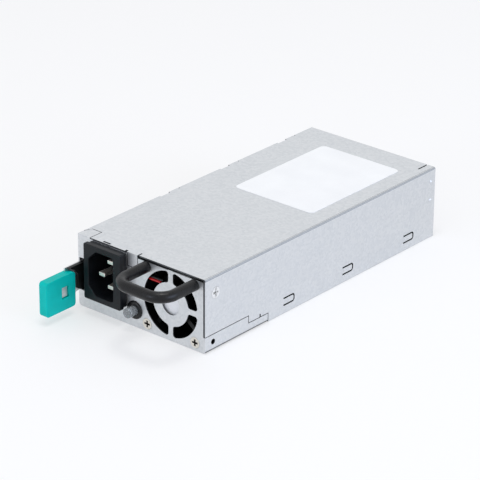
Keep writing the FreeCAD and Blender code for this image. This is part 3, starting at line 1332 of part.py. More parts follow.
def make_status_light():
    bush = new_body("light_bush")
    profile = new_sketch(bush, "bush_profile", "XZ_Plane")
    bore = s.pipe_radius + s.fit_gap
    outline(profile, [
        (bore, 0), (s.bush_radius, 0), (s.bush_radius, s.bush_rim * 0.6),
        (s.bush_radius - s.bush_rim * 0.4, s.bush_rim), (bore, s.bush_rim)])
    revolve(bush, profile)
    shank = new_sketch(bush, "bush_shank", "XY_Plane")
    circle(shank, 0, 0, s.bush_shank_radius)
    circle(shank, 0, 0, bore)
    pad(bush, shank, s.bush_length, backwards=True)
    forward = FreeCAD.Rotation(V(1, 0, 0), 90)
    place_in_case(bush, "light_bush", (light_x, 0, s.light_z), forward)

    pipe = new_body("light_pipe")
    profile = new_sketch(pipe, "pipe_profile", "XZ_Plane")
    rim = s.pipe_radius * 0.24
    outline(profile, [
        (0, -s.pipe_length), (s.pipe_radius, -s.pipe_length), (s.pipe_radius, s.pipe_proud - rim / 2),
        (s.pipe_radius - rim / 2, s.pipe_proud), (s.pipe_radius - rim, s.pipe_proud),
        (s.pipe_radius - rim * 1.4, s.pipe_proud - rim / 2), (0, s.pipe_proud - rim / 2)])
    revolve(pipe, profile)
    place_in_case(pipe, "light_pipe", (light_x, 0, s.light_z), forward)

    start = s.pipe_length + s.fit_gap
    lamp = cylinder(s.lamp_radius, (light_x, start, s.light_z), s.lamp_length, ALONG_Y)
    leads = []
    for side in (-1, 1):
        x = light_x + s.lamp_radius / 2 * side
        half = s.tail_thin / 4
        y = start + s.lamp_length - s.tail_thin
        leads.append(block((x - half, y, board_top), (x + half, y + half * 2, s.light_z)))
    place_in_case(fuse(lamp, *leads), "status_lamp")


# ---------------------------------------------------------------- circuit board

def standoff_places():
    inset = s.standoff_inset
    return [(x, y) for y in (board_fan_front + inset, board_rear - inset)
            for x in (s.board_left + inset, board_right - inset)]


def make_board():
    body = new_body("main_board")
    plan = new_sketch(body, "board_outline", "XY_Plane", board_bottom)
    notch_x = fan_x - fan_side / 2 - s.board_notch_gap
    card_right = s.card_left + s.card_width
    outline(plan, [
        (s.board_left, s.board_front), (notch_x, s.board_front), (notch_x, board_fan_front),
        (board_right, board_fan_front), (board_right, board_rear), (card_right, board_rear),
        (card_right, s.case_length + s.card_proud), (s.card_left, s.case_length + s.card_proud),
        (s.card_left, board_rear), (s.board_left, board_rear)])
    pad(body, plan, s.board_thickness)
    holes = new_sketch(body, "board_holes", "XY_Plane", board_top)
    for x, y in standoff_places():
        circle(holes, x, y, s.screw_radius + s.screw_hole_gap)
    for x, y in tail_places():
        rectangle(holes, (x - s.fit_gap, y - s.fit_gap),
                  (x + s.blade_wide / 2 + s.fit_gap, y + s.tail_thin + s.fit_gap))
    pocket(body, holes, s.board_thickness)
    place_in_case(body, "main_board")

    fingers = []
    first = s.card_left + (s.card_width - s.finger_pitch * (s.finger_count - 1)) / 2
    end = s.case_length + s.card_proud - s.fit_gap * 5
    for number in range(int(s.finger_count.value)):
        x = first + s.finger_pitch * number - s.finger_width / 2
        for z in (board_bottom - s.finger_thickness, board_top):
            fingers.append(block((x, end - s.finger_length, z),
                                 (x + s.finger_width, end, z + s.finger_thickness)))
    place_in_case(group(*fingers), "edge_contacts")

    pillars, screws, corners = [], [], []
    room = s.standoff_radius + s.fit_gap * 3
    for x, y in standoff_places():
        pillar = hexagon(s.standoff_radius, (x, y, floor), s.board_under)
        bore = cylinder(s.screw_radius + s.screw_hole_gap / 4, (x, y, floor), s.board_under)
        pillars.append(cut(pillar, bore))
        head = cylinder(s.pan_head_radius, (x, y, board_top), s.pan_head_height)
        shank = cylinder(s.screw_radius, (x, y, board_top - s.board_screw_length), s.board_screw_length)
        screws.append(fuse(head, shank))
        corners.append(block((x - room, y - room, floor), (x + room, y + room, floor + s.film_thickness)))
    place_in_case(group(*pillars), "board_pillars")
    place_in_case(group(*screws), "board_screws")
    film = block((s.board_left + s.film_inset, board_fan_front + s.film_inset, floor),
                 (board_right - s.film_inset, rear_panel_front - s.rear_foot - s.film_inset,
                  floor + s.film_thickness))
    place_in_case(cut(film, *corners), "insulating_film")


def make_filter_choke():
    """The mains filter's choke: a rectangular ring core lying flat, a coil round each long leg."""
    x, y, leg, build = s.filter_x, s.filter_y, s.filter_leg, s.filter_coil + s.coil_gap
    right, end = x + s.filter_wide, y + s.filter_deep
    low_z, high_z = board_top + build, board_top + build + s.filter_high
    window = block((x + leg, y + leg, low_z), (right - leg, end - leg, high_z))
    place_in_case(cut(block((x, y, low_z), (right, end, high_z)), window), "filter_choke_core")
    coils = []
    for left in (x, right - leg):
        inside = (left - s.coil_gap, y + leg, low_z - s.coil_gap)
        beyond = (left + leg + s.coil_gap, end - leg, high_z + s.coil_gap)
        sleeve = block((left - build, y + leg + s.coil_gap, board_top),
                       (left + leg + build, end - leg - s.coil_gap, high_z + build))
        coils.append(cut(sleeve, block(inside, beyond)))
    place_in_case(group(*coils), "filter_choke_windings")


def wound_core(core_name, coil_name, x, y, wide, deep, high):
    """A ferrite core with two windows and a coil round its middle leg, standing on the board."""
    low_z, high_z = board_top + s.core_yoke, board_top + high - s.core_yoke
    left, right, front, rear = x - wide / 2, x + wide / 2, y - deep / 2, y + deep / 2
    pole = s.core_pole / 2
    windows = [block((left + s.core_leg, front, low_z), (x - pole, rear, high_z)),
               block((x + pole, front, low_z), (right - s.core_leg, rear, high_z))]
    core = cut(block((left, front, board_top), (right, rear, board_top + high)), *windows)
    place_in_case(core, core_name)
    coil = new_body(coil_name)
    plan = new_sketch(coil, f"{coil_name}_plan", "XY_Plane", low_z + s.coil_gap)
    gap = s.coil_gap
    build = wide / 2 - s.core_leg - pole - gap
    rectangle(plan, (x - pole - build, front - build), (x + pole + build, rear + build), s.coil_corner)
    rectangle(plan, (x - pole - gap, front - gap), (x + pole + gap, rear + gap))
    pad(coil, plan, high_z - low_z - gap * 2)
    place_in_case(coil, coil_name)


def make_fuse():
    z = board_top + s.fuse_cap_radius
    glass = cylinder(s.fuse_radius, (s.fuse_x, s.fuse_y, z), s.fuse_length, ALONG_Y)
    near = cylinder(s.fuse_cap_radius, (s.fuse_x, s.fuse_y, z), s.fuse_cap, ALONG_Y)
    far = cylinder(s.fuse_cap_radius, (s.fuse_x, s.fuse_y + s.fuse_length - s.fuse_cap, z),
                   s.fuse_cap, ALONG_Y)
    place_in_case(fuse(glass, near, far), "mains_fuse")


def make_heat_sink(name, x, y, length, count):
    """A flat plate on edge with upright fins spread along its right."""
    body = new_body(name)
    plate = new_sketch(body, f"{name}_plate", "XY_Plane", board_top)
    rectangle(plate, (x, y), (x + s.sink_plate, y + length))
    pad(body, plate, s.sink_height)
    fin = new_sketch(body, f"{name}_fin", "XY_Plane", board_top)
    rectangle(fin, (x + s.sink_plate / 2, y), (x + s.sink_plate + s.sink_fin_reach, y + s.sink_fin))
    pitch = (length - s.sink_fin) / (count - 1)
    linear_pattern(body, pad(body, fin, s.sink_height), "Y_Axis", count, pitch)
    place_in_case(body, name)


def clipped_on(right, y, wide, high, thick, leads, pitch):
    """A flat package clipped to a heat sink's left face, on a row of leads."""
    low = board_top + s.transistor_stand
    left = right - thick
    pieces = [block((left, y, low), (right, y + wide, low + high))]
    half = s.transistor_lead / 2
    first = y + (wide - pitch * (leads - 1)) / 2
    for number in range(leads):
        lead_y = first + pitch * number
        pieces.append(block((left + half, lead_y - half, board_top),
                            (left + half * 3, lead_y + half, low)))
    return fuse(*pieces)


def transistor_row(right, start, count):
    return [clipped_on(right, start + s.transistor_pitch * number, s.transistor_wide,
                       s.transistor_high, s.transistor_thick, 3, s.transistor_lead_pitch)
            for number in range(int(count.value))]


def make_power_parts():
    make_heat_sink("primary_heat_sink", sink_x, s.sink_y, sink_2_y - s.sink_gap - s.sink_y,
                   s.primary_fin_count)
    make_heat_sink("output_heat_sink", sink_x, sink_2_y, s.sink_2_length, s.output_fin_count)
    bridge_y = s.sink_y + s.transistor_lead
    bridge = clipped_on(sink_x, bridge_y, s.bridge_wide, s.bridge_high, s.bridge_thick, 4,
                        s.bridge_lead_pitch)
    place_in_case(bridge, "bridge_rectifier")
    gap = s.transistor_pitch - s.transistor_wide
    row = transistor_row(sink_x, bridge_y + s.bridge_wide + gap, s.transistor_count)
    row += transistor_row(sink_x, sink_2_y + gap, s.output_transistor_count)
    place_in_case(group(*row), "power_transistors")

    bulk = new_body("bulk_capacitor")
    profile = new_sketch(bulk, "can_profile", "XZ_Plane")
    radius, length, groove = s.bulk_radius, s.bulk_length, s.bulk_groove
    outline(profile, [
        (0, 0), (radius, 0), (radius, groove * 4), (radius - groove, groove * 5),
        (radius, groove * 6), (radius, length), (0, length)])
    revolve(bulk, profile)
    place_in_case(bulk, "bulk_capacitor", (sink_x - s.bulk_beside, s.bulk_y, board_top + radius), ALONG_Y)
    wound_core("boost_choke_core", "boost_choke_windings", s.boost_x, s.boost_y,
               s.boost_wide, s.boost_deep, s.boost_high)
    wound_core("transformer_core", "transformer_coil", s.core_x, board_rear - s.core_rear,
               s.core_wide, s.core_deep, s.core_high)


def make_output_parts():
    cans = []
    for row in range(int(s.can_rows.value)):
        y = board_rear - s.can_rear - s.can_pitch * row
        for column in range(int(s.can_columns.value)):
            x = s.can_x + s.can_pitch * column
            cans.append(cylinder(s.can_radius, (x, y, board_top), s.can_height))
    place_in_case(group(*cans), "output_capacitors")
    x, y = sink_x - s.card_beside, board_rear - s.card_rear - s.card_length
    card = block((x, y, board_top), (x + s.card_thickness, y + s.card_length, board_top + s.card_height))
    place_in_case(group(card), "control_card")
    chips = []
    for number in range(3):
        low_y = y + s.chip_side / 2 + s.chip_pitch * number
        low_z = board_top + s.chip_side
        chips.append(block((x - s.chip_thickness, low_y, low_z),
                           (x, low_y + s.chip_side, low_z + s.chip_side)))
    place_in_case(group(*chips), "control_chips")


def make_small_parts():
    x, y = s.film_capacitor_x, s.film_capacitor_y
    filter_block = soft_block("film_capacitor", (x, y, board_top),
                              (x + s.film_capacitor_wide, y + s.film_capacitor_long,
                               board_top + s.film_capacitor_high), s.bezel_corner)
    place_in_case(filter_block, "film_capacitor")
    make_fuse()

    low = (s.header_x, s.header_y, board_top)
    high = (s.header_x + s.header_wide, s.header_y + s.header_deep, board_top + s.header_high)
    wall = s.header_wall
    room = block((low[0] + wall, low[1] + wall, board_top + wall),
                 (high[0] - wall, high[1] - wall, high[2]))
    place_in_case(cut(block(low, high), room), "fan_header")
    gap = wall + s.fit_gap
    plug = soft_block("fan_plug", (low[0] + gap, low[1] + gap, board_top + wall),
                      (high[0] - gap, high[1] - gap, high[2] + s.plug_stands_out), s.header_wall / 4)
    place_in_case(plug, "fan_plug")


def make_label():
    """The rating label's place: a blank rounded sticker on the cover."""
    end = s.case_length - s.label_rear
    low = (s.label_left, end - s.label_length, case_top)
    high = (s.label_left + s.label_width, end, case_top + s.paper_thickness)
    place_in_case(soft_block("rating_label", low, high, s.label_corner), "rating_label")


def make_cover_screw():
    into = FreeCAD.Rotation(V(0, 1, 0), -90)
    screw = countersunk_screw((case_right, s.cover_screw_y, s.cover_screw_z), s.fan_screw_length / 2, into)
    place_in_case(group(screw), "cover_screw")


# ---------------------------------------------------------------- build, check and write

def check_document():
    doc.recompute()
    for thing in doc.Objects:
        bad = [state for state in thing.State if state in ("Invalid", "Error")]
        if bad:
            raise RuntimeError(f"{thing.Name} ({thing.Label}) is {bad}")
    for made in cuts:
        if made.Shape.Volume > made.BaseFeature.Shape.Volume - 1e-6:
            raise RuntimeError(f"{made.Name} cuts nothing")
    for name, thing in finished.items():
        if thing.Shape.isNull() or not thing.Shape.isValid() or not thing.Shape.Solids:
            raise RuntimeError(f"{name} has no valid solid")


def main():
    make_tray()
    make_cover()
    make_rear_panel()
    make_latch()
    make_handle()
    make_fan()
    make_fan_leads()
    make_inlet()
    make_blades()
    make_status_light()
    make_board()
    make_filter_choke()
    make_power_parts()
    make_output_parts()
    make_small_parts()
    make_label()
    make_cover_screw()
    check_document()
    os.makedirs("parts", exist_ok=True)
    for name, thing in finished.items():
        thing.Shape.exportStep(f"parts/{name}.step")
    print(f"{len(finished)} sub-parts written")


main()
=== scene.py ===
import json
import math

import bmesh
import bpy
from mathutils import Matrix, Vector


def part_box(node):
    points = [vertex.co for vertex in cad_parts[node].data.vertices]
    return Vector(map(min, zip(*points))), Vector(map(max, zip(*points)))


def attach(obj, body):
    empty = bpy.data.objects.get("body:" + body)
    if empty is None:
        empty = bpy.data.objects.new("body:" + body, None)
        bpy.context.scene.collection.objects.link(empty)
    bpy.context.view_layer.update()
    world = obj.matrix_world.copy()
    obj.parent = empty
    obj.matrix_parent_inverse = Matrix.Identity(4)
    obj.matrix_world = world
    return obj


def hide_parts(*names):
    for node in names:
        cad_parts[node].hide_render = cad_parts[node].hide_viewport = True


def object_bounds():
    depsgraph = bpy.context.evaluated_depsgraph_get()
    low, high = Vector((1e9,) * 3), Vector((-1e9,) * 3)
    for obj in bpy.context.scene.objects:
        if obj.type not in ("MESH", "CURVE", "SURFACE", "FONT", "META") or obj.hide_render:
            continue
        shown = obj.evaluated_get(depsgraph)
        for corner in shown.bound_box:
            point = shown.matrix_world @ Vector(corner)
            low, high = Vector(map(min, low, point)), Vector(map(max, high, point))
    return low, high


# %% [markdown]
# A hot-swap power supply for a server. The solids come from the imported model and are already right
# in size and place, so this lesson is about what the eye adds: folded sheet edges that catch the
# light, zinc that is never one flat grey, moulded plastic with a spark-eroded skin, and screws with
# a recess that a driver fits.

# %% Load the frame
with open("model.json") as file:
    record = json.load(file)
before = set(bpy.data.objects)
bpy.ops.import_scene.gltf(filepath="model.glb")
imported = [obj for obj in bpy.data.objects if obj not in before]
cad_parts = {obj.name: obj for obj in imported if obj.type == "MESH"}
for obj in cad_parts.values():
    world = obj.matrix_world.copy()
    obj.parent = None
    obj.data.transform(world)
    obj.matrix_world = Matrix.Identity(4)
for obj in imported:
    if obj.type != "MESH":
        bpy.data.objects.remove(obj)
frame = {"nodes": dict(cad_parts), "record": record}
cad_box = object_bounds()
nodes = frame["nodes"]
record = frame["record"]
body_of_node = {node: body for body, members in record["behaviour"]["bodies"].items()
                for node in members}
slot_of_node = {entry["node"]: entry["material_slot"] for entry in record["subparts"]}

# %% [markdown]
# Sizes are easiest to read in millimetres, so one constant turns them into Blender's metres, and
# the middle of a node is where a new piece is centred.

# %% Millimetres
MM = 0.001


def middle(node):
    low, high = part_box(node)
    return (low + high) / 2


print(f"the case's middle is {middle('chassis') / MM} mm")

# %% [markdown]
# Colours are written the way a designer picks them, as sRGB hex values. A shader works in linear
# light, so one function converts them all. A second adds a node with its settings and links, and
# a third fills its sockets: a value is set, and another node is linked by its first live output.

# %% Colours and nodes
def linear(code):
    channels = [int(code[i:i + 2], 16) / 255 for i in (1, 3, 5)]
    return [c / 12.92 if c <= 0.04045 else ((c + 0.055) / 1.055) ** 2.4 for c in channels] + [1.0]


def wire(node, *in_order, **by_name):
    """Fills a node's live sockets, in order or by name with _ for a space."""
    live = [socket for socket in node.inputs if socket.enabled]
    pairs = list(zip(live, in_order))
    pairs += [(next(s for s in live if s.name == name.replace("_", " ")), value)
              for name, value in by_name.items()]
    for socket, value in pairs:
        if isinstance(value, bpy.types.Node):
            value = next(output for output in value.outputs if output.enabled)
        if isinstance(value, bpy.types.NodeSocket):
            node.id_data.links.new(value, socket)
        else:
            socket.default_value = value


def add(tree, kind, settings=None, *in_order, **by_name):
    node = tree.nodes.new(f"ShaderNode{kind}")
    for name, value in (settings or {}).items():
        setattr(node, name, value)
    wire(node, *in_order, **by_name)
    return node


def new_material(name, **shader_inputs):
    """A Principled material, with its plain numbers on the shader's own sockets."""
    material = bpy.data.materials.new(name)
    material.use_nodes = True
    shader = material.node_tree.nodes["Principled BSDF"]
    wire(shader, **shader_inputs)
    return material, material.node_tree, shader


def on_object(tree, stretch=(1, 1, 1)):
    """A place on the object's own coordinates, stretched where asked."""
    return add(tree, "Mapping", None, add(tree, "TexCoord").outputs["Object"], Scale=stretch)


def per(size_mm):
    """The texture scale that gives one blotch, cell or turn in so many millimetres."""
    return 1 / (size_mm * MM)


def tone_of(tree, amount, low, high, dark, light):
    """A colour between dark and light as the amount goes from low to high."""
    share = add(tree, "MapRange", None, amount, low, high)
    return add(tree, "Mix", {"data_type": "RGBA"}, share, linear(dark), linear(light))


# %% [markdown]
# The case is hot-dip galvanised steel sheet, temper rolled: zinc grains a millimetre or two across
# show as faint lighter and darker patches, and the rolling leaves a much finer grain. A Voronoi
# texture gives each zinc grain its own tone, noise shifts its borders and adds the fine grain, and
# all of it is low in contrast, because the sheet reads as one quiet grey. A few long, faint rub
# marks run along the case, where it has slid in and out of its bay. The rolling grain is drawn at
# 0.4 mm, coarser than the real one, or it would not show at all.

# %% Galvanised sheet
ZINC_GRAIN_MM = 1.3
ROLLING_MM = 0.4


def galvanised_sheet():
    material, tree, shader = new_material("galvanised_steel_sheet", Metallic=1.0)
    point = on_object(tree)
    waver = add(tree, "TexNoise", None, point, per(1.2), 2.0)
    shift = add(tree, "VectorMath", {"operation": "MULTIPLY_ADD"}, waver.outputs["Color"],
                (ZINC_GRAIN_MM * MM,) * 3, point)
    cells = add(tree, "TexVoronoi", None, shift, per(ZINC_GRAIN_MM))
    grey = add(tree, "SeparateColor", None, cells.outputs["Color"])
    rolling = add(tree, "TexNoise", None, on_object(tree, (1, 0.6, 1)), per(ROLLING_MM), 3.0, 0.7)
    cloud = add(tree, "TexNoise", None, point, per(18), 3.0, 0.6)
    rubbed = add(tree, "TexNoise", None, on_object(tree, (1, 0.05, 1)), per(1.1), 2.0, 0.6)
    patches = add(tree, "Mix", None, 0.45, grey, rolling)
    uneven = add(tree, "Mix", None, 0.3, patches, cloud)
    marked = add(tree, "Mix", None, 0.12, uneven, rubbed)
    rough = add(tree, "MapRange", None, marked, 0.25, 0.75, 0.5, 0.4)
    grain = add(tree, "Bump", None, Strength=0.35, Distance=0.01 * MM, Height=rolling)
    wire(shader, Base_Color=tone_of(tree, marked, 0.2, 0.8, "#CACDD0", "#DADCDE"), Roughness=rough,
         Normal=grain)
    return material


zinc = galvanised_sheet()
print(f"galvanised sheet: zinc grains about {ZINC_GRAIN_MM} mm across")

# %% [markdown]
# Bare and plated metals are cleaner than the sheet. Spring steel and blades keep straight rolling
# lines, so their noise is stretched along the piece; a screw's zinc has a warm cast and small
# scuffs from the driver; gold on the contacts is soft and even. One function makes them all from
# two tones, a roughness and the direction in which the lines run.

# %% Bright metals
LINE_MM = 0.5


def bright_metal(name, dark, light, rough, stretch=(1, 1, 1)):
    material, tree, shader = new_material(name, Metallic=1.0)
    lines = add(tree, "TexNoise", None, on_object(tree, stretch), per(LINE_MM), 3.0, 0.6)
    wire(shader, Base_Color=tone_of(tree, lines, 0.3, 0.7, dark, light),
         Roughness=add(tree, "MapRange", None, lines, 0.3, 0.7, rough + 0.06, rough - 0.05),
         Normal=add(tree, "Bump", None, Strength=0.4, Distance=0.01 * MM, Height=lines))
    return material


ALONG_CASE = (1, 0.08, 1)
spring_steel = bright_metal("cold_rolled_spring_steel", "#DADBDC", "#F2F3F3", 0.42, ALONG_CASE)
screw_zinc = bright_metal("zinc_plated_screw", "#CFCAC0", "#EFEBE2", 0.34)
rivet_steel = bright_metal("bright_plated_rivet", "#BFC1C3", "#DCDDDE", 0.3)
blade_nickel = bright_metal("nickel_plated_brass_blade", "#E2DAD0", "#FCF6EE", 0.45, ALONG_CASE)
gold_plate = bright_metal("gold_plated_contact", "#C79A45", "#EFC873", 0.24, (1, 0.2, 1))
extruded = bright_metal("extruded_aluminium", "#B9BCBF", "#D9DBDD", 0.34, (1, 1, 0.06))
bright_zinc = bright_metal("bright_zinc_screw", "#D8DADC", "#F4F5F6", 0.36)
# Bare steel at the cut faces, painted darker than bare steel as painted shade in slots and seams.
cut_steel_with_painted_shade = bright_metal("bare_steel_and_painted_shade_at_the_cuts", "#4C4F52", "#74777A", 0.5)
# Painted shade: a darker strip along each fold, standing for the bend's shaded reflection.
painted_bend_shade = bright_metal("painted_shade_along_the_bends", "#9DA1A6", "#B5B9BD", 0.5)
print(f"bright metals, with lines or scuffs about {LINE_MM} mm across")

# %% [markdown]
# Injection-moulded plastics take their skin from the mould. Spark erosion leaves a fine pebble
# that spreads the highlight and polished steel leaves a glossier face. One function makes them
# all, with the pebble's size in millimetres and a faint, broad mottling, so that no face is one
# flat colour. Deep blacks need a low specular level, because an eroded skin traps much of the
# light that a smooth one would mirror.

# %% Moulded plastics
def moulded(name, base, lighter, rough, pebble_mm, depth_mm, specular=0.25, ior=1.54):
    material, tree, shader = new_material(name, IOR=ior, Specular_IOR_Level=specular)
    point = on_object(tree)
    mottle = add(tree, "TexNoise", None, point, per(5), 3.0, 0.6)
    pebble = add(tree, "TexNoise", None, point, per(pebble_mm))
    wire(shader, Base_Color=tone_of(tree, mottle, 0.3, 0.75, base, lighter),
         Roughness=add(tree, "MapRange", None, mottle, 0.3, 0.7, rough - 0.04, rough + 0.06),
         Normal=add(tree, "Bump", None, Strength=0.6, Distance=depth_mm * MM, Height=pebble))
    return material


inlet_black = moulded("glass_filled_nylon_black", "#0B0D10", "#171A1F", 0.42, 0.4, 0.03, 0.22)
arm_black = moulded("moulded_nylon_black", "#090B0C", "#131617", 0.4, 0.4, 0.02)
fan_black = moulded("pbt_fan_black", "#030404", "#090A0B", 0.36, 0.5, 0.015, 0.22, 1.57)
bush_black = moulded("nylon_bush_black", "#08090B", "#121416", 0.3, 0.5, 0.015, 0.3)
white_nylon = moulded("natural_nylon_66", "#D8D3C4", "#E9E5D8", 0.4, 0.5, 0.01, 0.5, 1.53)
epoxy_black = moulded("moulding_epoxy", "#101113", "#1D1F21", 0.5, 0.3, 0.02, 0.4, 1.55)
sleeve_blue = moulded("shrunk_pvc_sleeve", "#0E1830", "#152546", 0.24, 1.2, 0.01, 0.5)
film_yellow = moulded("metallised_film_capacitor", "#C79A16", "#DDB02C", 0.3, 0.8, 0.01, 0.5, 1.58)
ferrite_grey = moulded("sintered_ferrite", "#1F2024", "#303236", 0.6, 0.3, 0.03, 0.5)
print("plastics with a pebbled skin, from 0.3 mm grit to 1.2 mm waves")

# %% [markdown]
# The latch's grip is a bright polycarbonate blend. The pigment is strong, so the colour stays
# full right up to the edges, and a little light travels inside the wall before it comes out: that
# is subsurface scattering, with a radius of a millimetre or two.

# %% Teal grip
def coloured_blend():
    material, tree, shader = new_material(
        "moulded_pc_abs_teal", IOR=1.58, Specular_IOR_Level=0.1, Subsurface_Weight=0.15,
        Subsurface_Radius=(0.2, 1.0, 0.9), Subsurface_Scale=1.5 * MM)
    point = on_object(tree)
    flow = add(tree, "TexNoise", None, point, per(7))
    skin = add(tree, "TexNoise", None, point, per(0.35))
    wire(shader, Base_Color=tone_of(tree, flow, 0.3, 0.7, "#00B6AE", "#00BFB8"),
         Roughness=add(tree, "MapRange", None, flow, 0.3, 0.7, 0.42, 0.5),
         Normal=add(tree, "Bump", None, Strength=0.5, Distance=0.015 * MM, Height=skin))
    return material


grip_teal = coloured_blend()

# %% [markdown]
# The handle is a bent steel bar under a baked powder coat. Powder flows into an orange-peel skin
# about a millimetre across, with a finer speckle on top, so the long highlight along the bar
# breaks into grains. Two bumps of different size, one fed into the other, give both.

# %% Powder coat
PEEL_MM = 0.9
SPECKLE_MM = 0.45


def powder_coat():
    material, tree, shader = new_material("powder_coated_black", IOR=1.5, Specular_IOR_Level=0.3)
    point = on_object(tree)
    peel = add(tree, "TexNoise", None, point, per(PEEL_MM))
    speckle = add(tree, "TexNoise", None, point, per(SPECKLE_MM), 2.0, 0.6)
    waves = add(tree, "Bump", None, Strength=0.7, Distance=0.06 * MM, Height=peel)
    grit = add(tree, "Bump", None, Strength=0.8, Distance=0.04 * MM, Height=speckle, Normal=waves)
    wire(shader, Base_Color=tone_of(tree, speckle, 0.35, 0.75, "#020203", "#141518"),
         Roughness=add(tree, "MapRange", None, peel, 0.3, 0.7, 0.26, 0.42), Normal=grit)
    return material


handle_coat = powder_coat()
print(f"powder coat: {PEEL_MM} mm orange peel, {SPECKLE_MM} mm speckle")

# %% [markdown]
# The rating label is a coated paper sticker, and it stays bare. Paper still has a fibre texture
# and broad, faint clouds, so it isn't the same white as the background.

# %% Label stock
def label_stock():
    material, tree, shader = new_material("coated_label_paper", IOR=1.46, Roughness=0.42)
    point = on_object(tree)
    fibre = add(tree, "TexNoise", None, point, per(0.6), 4.0, 0.7)
    cloud = add(tree, "TexNoise", None, point, per(20))
    both = add(tree, "Mix", None, 0.5, fibre, cloud)
    wire(shader, Base_Color=tone_of(tree, both, 0.3, 0.7, "#EDEEF0", "#F7F8F9"),
         Normal=add(tree, "Bump", None, Strength=0.4, Distance=0.01 * MM, Height=fibre))
    return material


label_paper = label_stock()

# %% [markdown]
# Clear mouldings need real transmission. The light pipe is polycarbonate, which bends light more
# than window glass and is never perfectly clear, so a faint haze sits in its colour. Wire
# insulation is soft PVC: a full colour, a little glossy, with slow changes of gloss along it.

# %% Clear and soft plastics
def clear_moulding(name, tint, rough, ior, clear=0.8):
    material, tree, shader = new_material(name, IOR=ior, Roughness=rough, Transmission_Weight=clear)
    haze = add(tree, "TexNoise", None, on_object(tree), per(1.5), 3.0, 0.6)
    wire(shader, Base_Color=tone_of(tree, haze, 0.3, 0.8, tint, "#F4F6F6"),
         Normal=add(tree, "Bump", None, Strength=0.3, Distance=0.01 * MM, Height=haze))
    return material


def insulation(name, colour, lighter):
    material, tree, shader = new_material(name, IOR=1.53)
    along = add(tree, "TexNoise", None, on_object(tree), per(1))
    wire(shader, Base_Color=tone_of(tree, along, 0.3, 0.75, colour, lighter),
         Roughness=add(tree, "MapRange", None, along, 0.3, 0.7, 0.28, 0.4))
    return material


light_pipe_clear = clear_moulding("polycarbonate_light_pipe", "#B9C2C8", 0.06, 1.585, 0.7)
film_clear = clear_moulding("polyester_film", "#D8D8C8", 0.2, 1.6)
fuse_glass = clear_moulding("fuse_glass", "#DDE4E4", 0.05, 1.5)
red_pvc = insulation("pvc_insulation_red", "#C4131C", "#E0242B")
black_pvc = insulation("pvc_insulation_black", "#0B0B0B", "#181819")

# %% [markdown]
# A circuit board is green solder resist over copper: where a track runs underneath, the resist is
# lighter and stands a little proud. A brick pattern gives the hint of tracks without drawing any
# real circuit. Windings are enamelled wire laid side by side, so a wave draws the turns, and the
# wave's darker side is painted shade in the crease between two turns.

# %% Board and windings
TRACK_MM = 6
TURN_MM = 1.3


def solder_resist():
    material, tree, shader = new_material("green_solder_resist", IOR=1.5, Roughness=0.3)
    tracks = add(tree, "TexBrick", {"offset": 0.5}, on_object(tree),
                 linear("#0E4A24"), linear("#12552B"), linear("#1C7039"), per(TRACK_MM), 0.08)
    wire(shader, Base_Color=tracks,
         Normal=add(tree, "Bump", None, Strength=0.5, Distance=0.03 * MM,
                    Height=tracks.outputs["Fac"]))
    return material


def windings():
    material, tree, shader = new_material("enamelled_copper_wire", Metallic=0.85, Roughness=0.28)
    turns = add(tree, "TexWave", {"bands_direction": "DIAGONAL"}, on_object(tree),
                per(TURN_MM * math.tau), 1.5, 1.0)
    # Painted shade: the wave's dark side lies in the crease between two turns.
    wire(shader, Base_Color=tone_of(tree, turns.outputs["Fac"], 0.1, 0.8, "#4E2410", "#B5652E"),
         Normal=add(tree, "Bump", None, Strength=0.8, Distance=0.25 * MM,
                    Height=turns.outputs["Fac"]))
    return material


board_green = solder_resist()
copper = windings()
print(f"{len(bpy.data.materials)} materials")

# %% [markdown]
# Every material slot of the model gets its finish, and so does every node. A few nodes share a
# slot with another and still look different on the real thing: the inlet is glass-filled nylon,
# greyer than the latch's arm, and the cover's screw is whiter than the fan's.

# %% Which finish goes where
FINISHES = {
    "zinc_steel": zinc, "spring_steel": spring_steel, "rivet_steel": rivet_steel,
    "screw_steel": screw_zinc, "black_plastic": fan_black, "teal_plastic": grip_teal,
    "handle_metal": handle_coat, "contact_metal": blade_nickel, "bush_plastic": bush_black,
    "clear_plastic": light_pipe_clear, "paper_label": label_paper, "red_insulation": red_pvc,
    "black_insulation": black_pvc, "circuit_board": board_green, "gold_contact": gold_plate,
    "clear_film": film_clear, "white_nylon": white_nylon, "ferrite": ferrite_grey,
    "copper_wire": copper, "sink_aluminium": extruded, "capacitor_sleeve": sleeve_blue,
    "film_capacitor_case": film_yellow, "glass_fuse": fuse_glass, "package_plastic": epoxy_black,
}
OWN_FINISH = {"ac_inlet": inlet_black, "latch_arm": arm_black, "cover_screw": bright_zinc}


def finish_of(node):
    return OWN_FINISH.get(node, FINISHES[slot_of_node[node]])


for name, node in nodes.items():
    node.data.materials.clear()
    node.data.materials.append(finish_of(name))

# %% [markdown]
# The solids' meshes are loose triangles, exact but hard-edged. A node that can be seen is dressed
# with a copy of itself: doubles merged, flat faces joined to single polygons, and a small bevel on
# every edge, as a punched and folded sheet or a mould gives. The copy then stands for the node.
# A Bevel modifier would round each triangle's seam as well. Smooth shading would tilt the light on
# a large flat face towards its narrow bevels, so a Weighted Normal modifier lets large faces win.

# %% A dressed copy of a node
FLAT = math.radians(0.5)
SHARP = math.radians(32)
DOUBLES_MM = 0.001


def merged_form(node):
    """A node's mesh in a bmesh, with its doubles merged and its flat faces joined."""
    form = bmesh.new()
    form.from_mesh(nodes[node].data)
    bmesh.ops.remove_doubles(form, verts=form.verts, dist=DOUBLES_MM * MM)
    bmesh.ops.dissolve_limit(form, angle_limit=FLAT, verts=form.verts, edges=form.edges)
    return form


